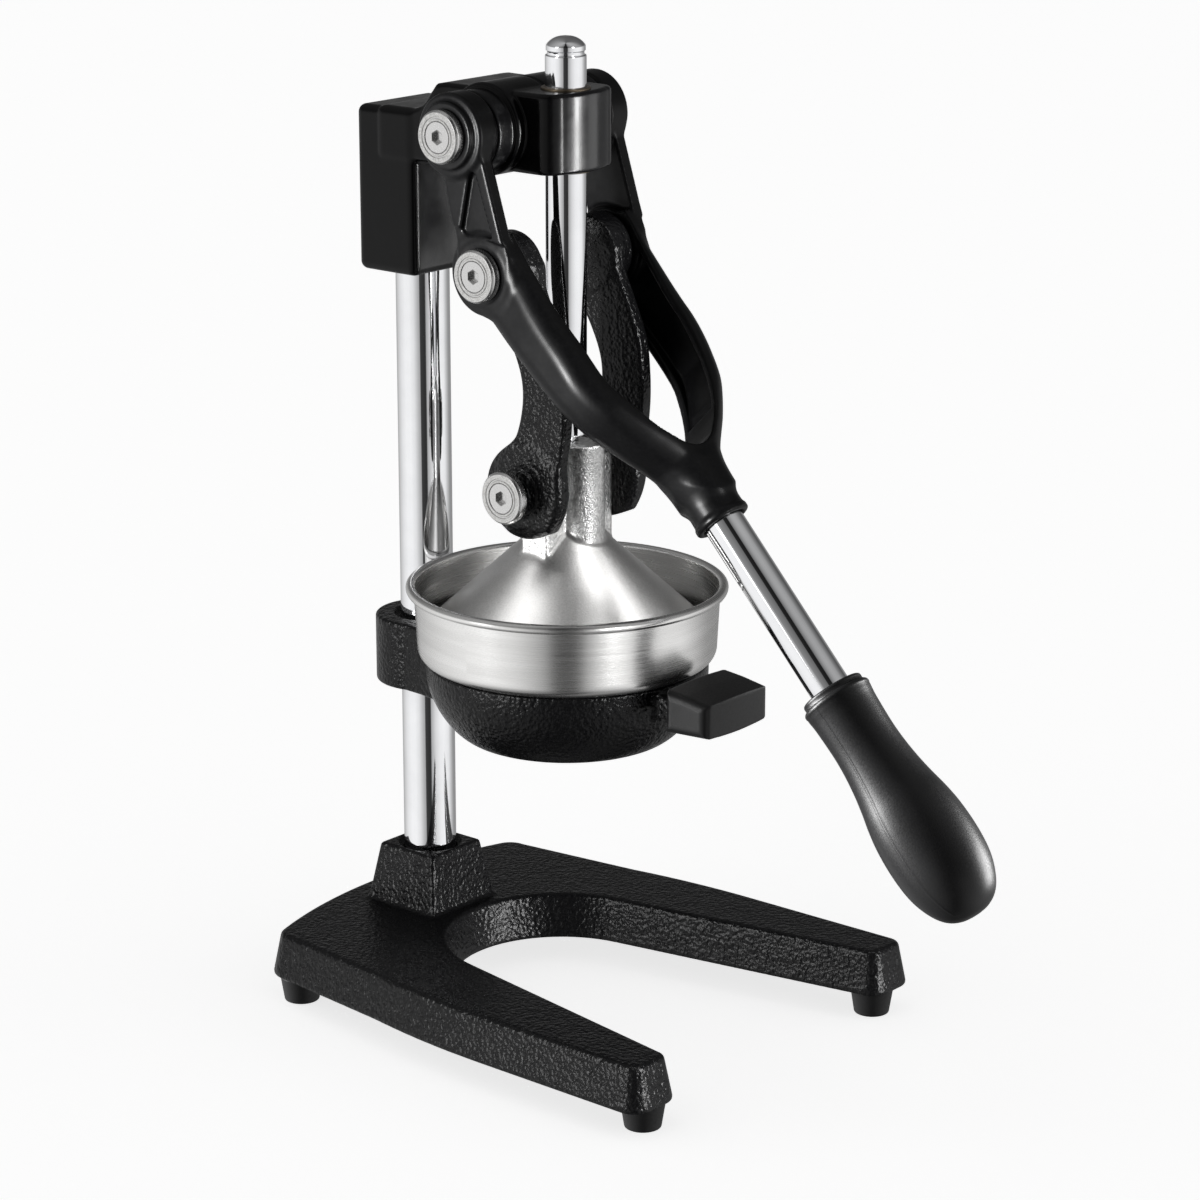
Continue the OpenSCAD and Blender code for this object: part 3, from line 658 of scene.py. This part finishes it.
HEAD_SIDE = Outline(
    [(80, 333), (61.6, 332.2)] + flow([(60.4, 333.6), (55, 340), (48, 345.6), (38, 349)], 5)
    + [(20, 349), (-20, 349), (-20, 382), (46, 382)]
    + flow([(49.5, 381), (53, 376.5), (57.5, 371.5), (64, 369.1)], 5) + [(80, 369)])
HEAD_TOP = Outline(mirrored(
    [(21.4, 80), (21.4, 52)] + flow([(21.2, 50), (20.3, 44), (20, 36)])
    + arc((20, -2.5), (18.3, -7.4), (13.5, -10.2), 8) + arc((13.5, -10.2), (7, -12.3), (0, -13), 8)[1:]))


def head_shape(x, y, z):
    ax = np.abs(x)
    rear = block(x, y, z, (0, 77, 335.5), (21.5, 15.6, 33.5), 3.4)
    arm = crop(crop(HEAD_TOP(x, y), bar(z, GUIDE_LOW, GUIDE_TOP), 2.2), HEAD_SIDE(y, z), 2.6)
    body = fillet(rear, arm, 2.0)
    for radius, reach, edge in ((18.2, 24.5, 1.4), (16.0, 33.0, 0.7)):
        body = fillet(body, crop(disc(y, z, P1, radius), bar(ax, 0, reach), edge), 0.6)
    body = cut(body, crop(np.hypot(x, y) - 9.3, bar(z, 340, 395), 0.1), 0.7)
    collar = crop(np.hypot(x, y - POST_Y) - POST_R - 0.25, bar(z, 290, 345), 0.1)
    body = cut(body, collar, 0.8)
    return cut(body, crop(np.hypot(x, z - 318) - 3.0, bar(y, 86, 100), 0.1), 0.5)


# ---------------------------------------------------------------- base

def base_half(e):
    """The base's outline from above, its +X half, grown by e all round."""
    gap_r, gap_y, q = 47.5, 4.0, 0.7071
    return (arc((0, 109 + e), (38 + e / 3, 105.7 + e), (67 + e / 2, 98.3 + e), 12)
            + arc((67.6 + e / 2, 98.1 + e), (72.0 + e * 0.8, 95.2 + e * 0.8), (73.8 + e, 89), 6)
            + arc((80.5 + e, 31), (84.2 + e, 4), (86 + e, -30), 12)
            + arc((86.6 + e, -103), (85.1 + e, -106.6 - e * 0.8), (81 + e, -108 - e), 6)
            + arc((72 - e, -108 - e), (68.6 - e, -106.8 - e * 0.8), (67 - e, -103), 6)
            + arc((46.8 - e, 12), ((gap_r - e) * q, gap_y + (gap_r - e) * q), (0, gap_y + gap_r - e), 16))


BASE_PLAN = Outline(mirrored(base_half(0)), step=0.5)


def base_shape(x, y, z):
    spread = 3.8 * np.clip((BASE_TOP - z) / (BASE_TOP - FOOT_H), 0, 1)
    plate = crop(BASE_PLAN(x, y) - spread, bar(z, FOOT_H, BASE_TOP), 1.7)
    half = 15 + 4.0 * np.clip((SOCKET_TOP - z) / (SOCKET_TOP - BASE_TOP), 0, 1.2)
    walls = crop(np.abs(x) - half, np.abs(y - POST_Y) - half, 1.2)
    socket = crop(walls, bar(z, FOOT_H + 4, SOCKET_TOP), 1.2)
    body = fillet(plate, socket, 2.2)
    r = np.hypot(x, y - POST_Y)
    body = cut(body, crop(r - 13.2, SOCKET_TOP - 1.6 - z, 0.4), 0.7)
    body = cut(body, crop(r - POST_R - 0.1, 24 - z, 0.1), 0.3)
    return cut(body, crop(r - 13, z - 18, 0.3), 0.8)


# ---------------------------------------------------------------- cup holder

CUP_LOW, CUP_FLOOR, CUP_TOP = 118.5, 124.5, 151.0
CUP_OUTSIDE = Outline(
    [(-9, CUP_LOW), (37, CUP_LOW)]
    + flow([(39, 118.6), (43, 120.3), (47.6, 124.2), (52.2, 130.4), (55.4, 137), (57.0, 143), (57.3, 147)], 5)
    + [(57.3, CUP_TOP), (-9, CUP_TOP)], step=0.3, margin=24)
CUP_INSIDE = Outline(
    [(-9, CUP_FLOOR), (36, CUP_FLOOR)] + arc((38, 125.0), (46, 131.5), (51.6, 142), 8)
    + [(53, 147), (53, 175), (-9, 175)], step=0.3, margin=24)
HOLDER_ARM = Outline(mirrored([(20.6, 77), (20.6, 72), (21.4, 62), (23.5, 50), (23.8, 40)]))


def holder_shape(x, y, z):
    r = np.hypot(x, y)
    post = np.hypot(x, y - POST_Y)
    height = bar(z, 127, 155.5)
    arm = np.minimum(crop(HOLDER_ARM(x, y), height, 1.2), crop(post - 21.5, height, 1.2))
    arm = cut(arm, np.maximum(r - 62, CUP_TOP - z), 0.6)
    lug = block(x, y, z, (0, -67, 144), (12, 15, 4.5), 1.2)
    body = fillet(CUP_OUTSIDE(r, z), arm, 0.9)
    body = fillet(body, lug, 3.0)
    body = cut(body, CUP_INSIDE(r, z), 0.8)
    body = cut(body, crop(r - 20, z - CUP_FLOOR - 2, 0.2), 0.8)
    body = cut(body, crop(post - 13.5, 154.0 - z, 0.4), 0.7)
    body = cut(body, post - POST_R - 0.1, 0.4)
    return cut(body, crop(np.hypot(x, z - 141) - 4.0, bar(y, 86, 110), 0.1), 0.5)


# ---------------------------------------------------------------- links

LINK_IN = 20.9
LINK_SIDE = Outline(
    flow([(-13, 211), (-17.5, 224), (-18.8, 236), (-20.6, 246), (-21.6, 256), (-21.4, 268), (-19.6, 281),
          (-14.2, 294.5), (-8.6, 307), (-7, 316)])
    + [(8, 326), (20, 316)] + flow([(19.5, 305), (13.5, 295), (7, 285.5), (1.6, 274), (0.0, 264), (1.6, 253),
                                     (5.6, 243), (11, 235), (14, 226)]) + [(6, 210)])


def link_shape(x, y, z):
    ax = np.abs(x)
    plate = crop(LINK_SIDE(y, z), bar(ax, LINK_IN, 27.2), 1.5)
    top = crop(disc(y, z, P2, 15.2), bar(ax, LINK_IN, 32.7), 1.3)
    foot = crop(disc(y, z, P3, 19.0), bar(ax, LINK_IN, 26.6), 1.4)
    step1 = crop(disc(y, z, P3, 13.6), bar(ax, LINK_IN, 28.0), 0.7)
    step2 = crop(disc(y, z, P3, 9.6), bar(ax, LINK_IN, 29.0), 0.6)
    body = fillet(plate, top, 2.5)
    body = fillet(body, foot, 4.5)
    body = fillet(body, step1, 0.8)
    body = fillet(body, step2, 0.6)
    body = cut(body, crop(disc(y, z, P3, 5.05), bar(ax, 15, 35), 0.1), 0.5)
    return cut(body, crop(disc(y, z, P2, 6.1), bar(ax, 23, 40), 0.1), 0.5)


# ---------------------------------------------------------------- press cone

def cone_z(r):
    return CONE_TIP - CONE_SLOPE * r


CONE_SOLID = Outline(
    [(-9, cone_z(4)), (4, cone_z(4)), (CONE_R, cone_z(CONE_R)), (CONE_R, 160), (-9, 160)],
    step=0.3, margin=26)
CONE_HOLLOW = Outline(
    [(-9, cone_z(6) - 5.6), (6, cone_z(6) - 5.6), (CONE_R - 4.6, cone_z(CONE_R - 4.6) - 5.6),
     (CONE_R - 3.2, 160), (CONE_R - 3.2, 140), (-9, 140)], step=0.3, margin=26)


def cone_shape(x, y, z):
    r = np.hypot(x, y)
    rib = crop(np.hypot(x, np.abs(y) - 8.5) - 8.7, bar(z, 196, 241.5), 1.0)
    core = crop(np.maximum(np.abs(x) - 8.1, np.abs(y) - 8.5), bar(z, 196, 241.5), 1.0)
    wing = block(x, y, z, (0, 0, 213), (20.5, 7, 21), 1.5)
    neck = fillet(np.minimum(rib, core), wing, 1.4)
    body = fillet(crop(CONE_SOLID(r, z), 159.0 - z, 0.1), neck, 1.6)
    body = cut(body, CONE_HOLLOW(r, z), 0.4)
    body = cut(body, crop(r - 4.5, 222 - z, 0.1), 0.5)
    return cut(body, crop(disc(y, z, P3, 5.05), bar(np.abs(x), 9, 30), 0.1), 0.4)


# ---------------------------------------------------------------- knob

KNOB_SIDE = Outline([(-66, 136.8), (-66, 155.4), (-76, 154.4), (-88, 152.4), (-88, 138.0)])


def knob_shape(x, y, z):
    crown = 0.5 * np.clip(1 - (x / 17) ** 2, 0, 1)
    body = crop(crop(KNOB_SIDE(y, z) + 0.5 - crown, np.abs(x) - 20, 3.4), y + 66, 1.2)
    return cut(body, block(x, y, z, (0, -67, 144), (12.1, 15.1, 4.6), 1.2), 0.4)


# ---------------------------------------------------------------- cast pieces

def casting(name, shape, low, high, cell, material, body):
    """A piece whose surface is shape(x, y, z) = 0, in place of the CAD node of that name."""
    obj = solid_mesh(name + "_casting", shape, low, high, cell)
    return finish_piece(obj, material, body, [name])


casting("base", base_shape, (-93, -115, 8), (93, 116, 57), 0.95, HAMMERED, "root")
casting("head", head_shape, (-36, -16, 299), (36, 96, 387), 0.72, SMOOTH, "root")
casting("cup_holder", holder_shape, (-61, -85, 116), (61, 102, 158), 0.8, HAMMERED, "root")
casting("yoke", yoke_shape, (-49, -90, 208), (49, 42, 386), 0.8, SATIN, "yoke")
casting("press_cone", cone_shape, (-58.5, -58.5, 157.5), (58.5, 58.5, 244), 0.8, CONE_METAL, "press")
knob = solid_mesh("knob_pad", knob_shape, (-22.5, -91, 134), (22.5, -63, 158), 0.6)
finish_piece(knob, KNOB_RUBBER, "root", ["knob_grip"])
for side, node in ((1, "link_right"), (-1, "link_left")):
    low_x = 18.5 if side > 0 else -35.5
    plate = solid_mesh(node + "_casting", link_shape, (low_x, -25, 202), (low_x + 17, 23, 332), 0.62)
    finish_piece(plate, HAMMERED, "links", [node])


# ---------------------------------------------------------------- turned pieces

def turned_piece(name, parts, material, body, nodes, degrees=32):
    """One object of several turned profiles, each with its own place: (points and faces, matrix)."""
    points, faces = joined([(placed(p, matrix), f) for (p, f), matrix in parts])
    obj = crisp(make_mesh(name, points, faces), degrees)
    return finish_piece(obj, material, body, nodes)


def second_material(obj, material, test):
    """Gives another material to the faces whose centre, in millimetres about the rod, passes test."""
    obj.data.materials.append(material)
    for face in obj.data.polygons:
        x, y, z = (v / MM for v in face.center)
        if test(x, y - ROD_Y, z):
            face.material_index = 1


def hexagon(points, r, h):
    """Turns the circles of radius r at or above height h into hexagons with flats at that radius."""
    out = []
    for x, y, z in points:
        if z >= h - 1e-6 and math.hypot(x, y) < r + 0.35:
            t = math.atan2(y, x) % (math.pi / 3) - math.pi / 6
            x, y = (v * math.cos(math.pi / 6) / math.cos(t) * 1.12 for v in (x, y))
        out.append((x, y, z))
    return out


DISC_IN, DISC_T, DISC_R = HUB_OUT + 0.5, 3.8, 10.5
DISC2_IN, DISC3_IN = HUB2_OUT + 0.5, 35.4


def disc_profile(h):
    top = h + DISC_T
    return softened([(2.6, h, 0), (DISC_R, h), (DISC_R, top - 1.0), (DISC_R - 0.8, top), (8.0, top, 0),
                     (7.75, top - 0.35, 0), (7.35, top - 0.35, 0), (7.1, top, 0), (6.4, top, 0),
                     (2.95, h + 0.4, 0)], 0.25, 3)


def screw_profile(h):
    top = h + DISC_T - 0.1
    return [(0, h - 8), (2.4, h - 8), (2.5, h - 7.6), (2.5, h + 0.3), (2.9, h + 0.45), (6.05, top - 0.12),
            (5.9, top), (2.75, top), (2.45, top - 0.25), (2.4, top - 2.0), (0, top - 2.0)]


def pin_profile(r, x0, x1):
    return softened([(0, x0, 0), (r, x0), (r, x1), (2.52, x1, 0), (2.52, x1 - 9, 0), (0, x1 - 9, 0)], 0.4, 3)


def pivot_set(pivot, names, nodes, body, pin, disc_in, pin_material):
    """The pin, cover disc and screw of a pivot, on both sides."""
    sides = [side_matrix(pivot, s) for s in (1, -1)]
    turned_piece(names[0], [(turned(pin_profile(*pin), 96), m) for m in sides], pin_material, body,
                 [nodes[0]])
    disc_obj = turned_piece(names[1], [(turned(disc_profile(disc_in), 128), m) for m in sides], STEEL, body,
                            [nodes[1]], 25)
    top = disc_in + DISC_T - 0.2
    flat = lambda x, y, z: abs(x) > top and math.hypot(y - pivot[0], z - pivot[1]) < DISC_R - 1
    second_material(disc_obj, DISC_FACE, flat)
    points, faces = turned(screw_profile(disc_in), 96)
    points = hexagon(points, 2.45, disc_in + DISC_T - 2.2)
    turned_piece(names[2], [((points, faces), m) for m in sides], STEEL, body, [nodes[2]], 25)


pivot_set(P1, ("pivot_pin_pair", "pivot_disc_pair", "pivot_screw_pair"),
          ("pivot_pins", "pivot_discs", "pivot_screws"), "root", (PIN_R, 22.2, DISC_IN), DISC_IN, STEEL)
pivot_set(P2, ("crank_pin_pair", "crank_disc_pair", "crank_screw_pair"),
          ("crank_pins", "crank_discs", "crank_screws"), "yoke", (PIN_R, HUB_IN, DISC2_IN), DISC2_IN, STEEL)
pivot_set(P3, ("link_pin_pair", "link_disc_pair", "link_screw_pair"),
          ("link_pins", "link_discs", "link_screws"), "press", (PIN3_R, 9.5, DISC3_IN), DISC3_IN, CHROME)

ROD_LOW, ROD_TOP = 244.0, 394.4
rod_line = softened([(0, 222.5, 0), (4.4, 222.5), (4.4, ROD_LOW, 0), (ROD_R, ROD_LOW), (ROD_R, ROD_TOP),
                     (4.02, ROD_TOP, 0), (4.02, ROD_TOP - 12, 0), (0, ROD_TOP - 12, 0)], 0.6)
turned_piece("press_rod", [(turned(rod_line, 160), upright(0, 0, 0))], CHROME, "press", ["rod"])

CAP_R = 7.75
cap_line = ([(0, ROD_TOP - 11), (4, ROD_TOP - 11), (4, ROD_TOP), (7.3, ROD_TOP), (7.25, ROD_TOP + 0.3),
             (7.25, ROD_TOP + 1.2), (7.4, ROD_TOP + 1.45), (CAP_R, ROD_TOP + 1.7), (CAP_R, ROD_TOP + 3.2)]
            + arc((CAP_R - 0.08, ROD_TOP + 3.7), (5.2, ROD_TOP + 6.0), (0, ROD_TOP + 7), 16))
turned_piece("rod_dome", [(turned(cap_line, 160), upright(0, 0, 0))], CHROME, "press", ["rod_cap"])

post_line = softened([(5.02, 24, 0), (POST_R, 24), (POST_R, 345), (0, 345, 0), (0, 56, 0),
                      (5.02, 56, 0)], 0.8)
turned_piece("stand_post", [(turned(post_line, 192), upright(0, POST_Y, 0))], CHROME, "root", ["post"])

BUSH_R = 9.8
bush_line = softened([(ROD_R + 0.05, GUIDE_LOW), (BUSH_R, GUIDE_LOW), (BUSH_R, GUIDE_TOP),
                      (ROD_R + 0.05, GUIDE_TOP)], 0.5)
turned_piece("rod_bush", [(turned(bush_line, 128), upright(0, 0, 0))], BRONZE, "root", ["guide_bush"])

FEET = [(67.5, 88.5), (74.5, -101.5), (-67.5, 88.5), (-74.5, -101.5)]
foot_line = softened([(2.02, 4, 0), (4, 4), (4, 0), (7.2, 0), (8.9, FOOT_H), (2.02, FOOT_H, 0)], 0.7)
turned_piece("rubber_feet", [(turned(foot_line, 96), upright(x, y, 0)) for x, y in FEET], FOOT_RUBBER, "root",
             ["feet"])

tube_line = softened([(TUBE_R - 1.5, -21.5), (TUBE_R, -21.5), (TUBE_R, 172), (TUBE_R - 1.5, 172)], 0.4)
turned_piece("lever_tube", [(turned(tube_line, 160), handle_matrix())], CHROME, "yoke", ["handle_tube"])


def grip_seam(angle, s):
    """The mould's parting line: a low ridge along both sides of the grip."""
    return 0.16 * np.exp(-(16 * np.minimum(abs(np.sin(angle)), 1) / 0.4) ** 2) * (83 < s < 180)


grip_line = ([(TUBE_R + 0.02, 78.4), (10.6, 77.9)]
             + arc((11.5, 78.0), (12.5, 78.4), (12.7, 79.3), 4) + [(12.7, 80.4), (12.95, 80.8)]
             + arc((13.3, 80.9), (13.95, 81.5), (13.95, 83.2), 6)
             + flow([(13.85, 84.5), (13.45, 88), (13.15, 95), (13.05, 102), (13.4, 109), (14.3, 117),
                     (15.6, 124.5), (17.2, 132), (18.3, 139.5), (18.75, 148), (18.5, 156), (17.6, 162.5),
                     (15.8, 168.3), (13.1, 173.5), (9.8, 177.0), (5.4, 179.1), (0, 179.8)])
             + [(0, 172.5), (TUBE_R + 0.02, 172.5)])
turned_piece("lever_grip", [(turned(grip_line, 256, wobble=grip_seam), handle_matrix())], GRIP_RUBBER, "yoke",
             ["handle_grip"], 40)

RIM_R, RIM_Z, LEDGE = 63.0, 181.0, 151.0
rim_line = [(RIM_R + 2 * math.cos(t), RIM_Z + 2 * math.sin(t)) for t in np.radians(np.arange(-127, 181, 14))]
bowl_line = ([(12.7, 121.5), (13.5, 121.5), (13.5, 129.2), (13.9, 130.4), (15.5, 131.5), (49.5, 150.85),
              (50.5, LEDGE), (55, LEDGE)]
             + arc((56, 151.1), (59.2, 153.0), (60.6, 157), 8) + rim_line + [(61.0, 179.4)]
             + arc((59.8, 157.4), (58.6, 153.9), (55.6, 151.8), 8)
             + [(50.7, 151.8), (49.3, 151.5), (15.2, 132.4), (13.3, 131.0), (12.7, 129.6)])
turned_piece("juice_bowl", [(turned(bowl_line, 256), upright(0, 0, 0))], BOWL_STEEL, "root", ["bowl"],
             40)


# ---------------------------------------------------------------- CAD pieces that keep their shape

for node, material in (("foot_screws", STEEL), ("post_bolt", STEEL), ("post_washer", STEEL),
                       ("head_set_screw", STEEL), ("holder_set_screw", STEEL), ("yoke_bushes", BRONZE),
                       ("strainer_cone", BOWL_STEEL)):
    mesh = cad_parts[node].data
    mesh.materials.clear()
    mesh.materials.append(material)


# ---------------------------------------------------------------- camera, floor and light

AZIMUTH, ELEVATION = math.radians(-49.92), math.radians(16.21)
DISTANCE = 1.4871
target = Vector((20.55, ROD_Y, 170.2)) * MM
back = Vector((math.sin(AZIMUTH) * math.cos(ELEVATION), -math.cos(AZIMUTH) * math.cos(ELEVATION),
               math.sin(ELEVATION)))
camera = bpy.data.objects.new("camera", bpy.data.cameras.new("camera"))
camera.data.sensor_width = 36
camera.data.lens = 109.45
camera.data.clip_end = 50
camera.location = target + DISTANCE * back
camera.rotation_euler = back.to_track_quat("Z", "Y").to_euler()
bpy.context.scene.collection.objects.link(camera)
bpy.context.scene.camera = camera


def floor():
    """A wide pale floor. It glows a little for the camera, so that only contact shadows show on it."""
    half = 40.0
    mesh = bpy.data.meshes.new("floor")
    corners = [(-half, -half, 0), (half, -half, 0), (half, half, 0), (-half, half, 0)]
    mesh.from_pydata(corners, [], [(0, 1, 2, 3)])
    obj = bpy.data.objects.new("floor", mesh)
    bpy.context.scene.collection.objects.link(obj)
    m = Nodes("pale_floor", (0.85, 0.85, 0.85), 0.7, Specular_IOR_Level=0.1, Emission_Color=(1, 1, 1, 1))
    m.set(Emission_Strength=m.math("MULTIPLY", m.add("ShaderNodeLightPath").outputs["Is Camera Ray"], 0.76))
    mesh.materials.append(m.material)
    obj.visible_glossy = False
    obj.visible_shadow = False
    obj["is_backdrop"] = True


def seen_from_camera(azimuth, elevation, distance):
    """A place at angles in degrees to the right of the camera's side and above the table."""
    a = AZIMUTH + math.radians(azimuth)
    e = math.radians(elevation)
    return (distance * math.sin(a) * math.cos(e), -distance * math.cos(a) * math.cos(e),
            0.18 + distance * math.sin(e))


LAMP_DISTANCE = 1.6


def panel(name, azimuth, elevation, size, radiance, only):
    """A soft rectangular lamp, (width, height) in metres, that the camera doesn't see.

    It lights only the given collection, so each paint and metal has its own highlights.
    """
    lamp = bpy.data.lights.new(name, "AREA")
    lamp.shape = "RECTANGLE"
    lamp.size, lamp.size_y = size
    lamp.energy = radiance * math.pi * size[0] * size[1]
    obj = bpy.data.objects.new(name, lamp)
    obj.location = seen_from_camera(azimuth, elevation, LAMP_DISTANCE)
    obj.rotation_euler = (obj.location - Vector((0, 0.02, 0.2))).to_track_quat("Z", "Y").to_euler()
    bpy.context.scene.collection.objects.link(obj)
    obj.visible_camera = False
    obj.light_linking.receiver_collection = only


def made_of(name, *materials):
    """A collection of the shown pieces that are made of these materials, for lamps that light only them."""
    group = bpy.data.collections.new(name)
    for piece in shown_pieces():
        if piece.type == "MESH" and any(m in materials for m in piece.data.materials):
            group.objects.link(piece)
    return group


def studio():
    """A white studio seen in the chrome as upright bands: dark behind the camera, white at its sides."""
    world = bpy.data.worlds.new("studio")
    bpy.context.scene.world = world
    world.use_nodes = True
    nodes, link = world.node_tree.nodes, world.node_tree.links.new
    split = nodes.new("ShaderNodeSeparateXYZ")
    link(nodes.new("ShaderNodeTexCoord").outputs["Generated"], split.inputs[0])

    def math_node(op, p, q):
        node = nodes.new("ShaderNodeMath")
        node.operation = op
        for socket, v in zip(node.inputs, (p, q)):
            if isinstance(v, bpy.types.NodeSocket):
                link(v, socket)
            else:
                socket.default_value = v
        return node.outputs[0]

    def bands(fac, stops):
        node = nodes.new("ShaderNodeValToRGB")
        link(fac, node.inputs["Fac"])
        while len(node.color_ramp.elements) < len(stops):
            node.color_ramp.elements.new(0.5)
        for element, (place, v) in zip(node.color_ramp.elements, stops):
            element.position = place
            element.color = (v, v, v, 1)
        return node.outputs["Color"]

    x, y, z = split.outputs
    towards = math_node("ADD", math_node("MULTIPLY", x, math.sin(AZIMUTH)),
                        math_node("MULTIPLY", y, -math.cos(AZIMUTH)))
    right = math_node("ADD", math_node("MULTIPLY", x, math.cos(AZIMUTH)),
                      math_node("MULTIPLY", y, math.sin(AZIMUTH)))
    turn = math_node("ARCTAN2", right, towards)
    round_it = bands(math_node("ADD", math_node("DIVIDE", turn, 2 * math.pi), 0.5),
                     [(0.5 + angle / 360, v) for angle, v in BANDS])
    upward = bands(math_node("ADD", math_node("MULTIPLY", z, 0.5), 0.5), HEIGHTS)
    light = math_node("MULTIPLY", round_it, upward)
    shown = math_node("MAXIMUM", light, nodes.new("ShaderNodeLightPath").outputs["Is Camera Ray"])
    link(shown, nodes["Background"].inputs["Color"])


# Brightness of the studio by the angle to the right of the camera's side, and by (1 + sine of height) / 2
BANDS = [(-180, 0.3), (-150, 0.5), (-108, 0.86), (-82, 1.0), (-60, 1.0), (-40, 0.85), (-21, 0.5), (-14, 0.42),
         (-12, 0.05), (8, 0.03), (12, 0.05), (14, 0.42), (33, 0.76), (53, 0.95), (74, 1.0), (98, 0.9),
         (113, 0.6), (132, 0.32), (164, 0.28), (180, 0.3)]
HEIGHTS = [(0.05, 0.3), (0.2, 1.0), (0.5, 1.0), (0.64, 0.3), (1.0, 0.45)]

floor()
studio()
smooth = made_of("smooth_pieces", SMOOTH)
satin = made_of("satin_pieces", SATIN)
rough = made_of("hammered_pieces", HAMMERED)
grip = made_of("grip_piece", GRIP_RUBBER)
rubber = made_of("knob_and_feet", KNOB_RUBBER, FOOT_RUBBER)
cone = made_of("cone_piece", CONE_METAL)
bowl = made_of("bowl_piece", BOWL_STEEL)
bright = made_of("bright_pieces", CHROME, DISC_FACE, STEEL, BRONZE)
panel("nose_light", 74, -4, (0.18, 1.3), 115, smooth)
panel("head_fill", 104, 4, (0.5, 1.3), 3, smooth)
panel("arm_light", -50, 2, (0.35, 0.45), 130, satin)
panel("arm_fill", 56, 0, (0.3, 1.0), 12, satin)
panel("cast_front", 60, 8, (0.4, 1.3), 34, rough)
panel("cast_left", -60, 12, (0.4, 1.3), 14, rough)
panel("cast_top", 10, 72, (1.0, 0.5), 8, rough)
panel("grip_right", 104, 4, (0.9, 0.9), 20, grip)
panel("rubber_right", 122, 12, (0.9, 1.4), 3, rubber)
panel("grip_left", -94, 6, (0.9, 1.2), 42, grip)
panel("rubber_left", -94, 10, (0.8, 1.4), 14, rubber)
panel("cone_right", 88, 60, (1.0, 0.8), 6, cone)
panel("cone_left", -85, 60, (0.8, 0.8), 3, cone)
panel("neck_left", -60, 5, (0.6, 1.2), 12, cone)
panel("neck_right", 45, 5, (0.5, 1.2), 12, cone)
panel("bowl_left", -61, 0, (0.3, 0.9), 1.5, bowl)
panel("bowl_right", 33, 0, (0.25, 0.9), 9, bowl)
panel("metal_left", -55, 20, (0.5, 0.9), 2.0, bright)
panel("metal_right", 45, 25, (0.4, 0.9), 2.5, bright)

bpy.context.scene.view_settings.view_transform = "Standard"
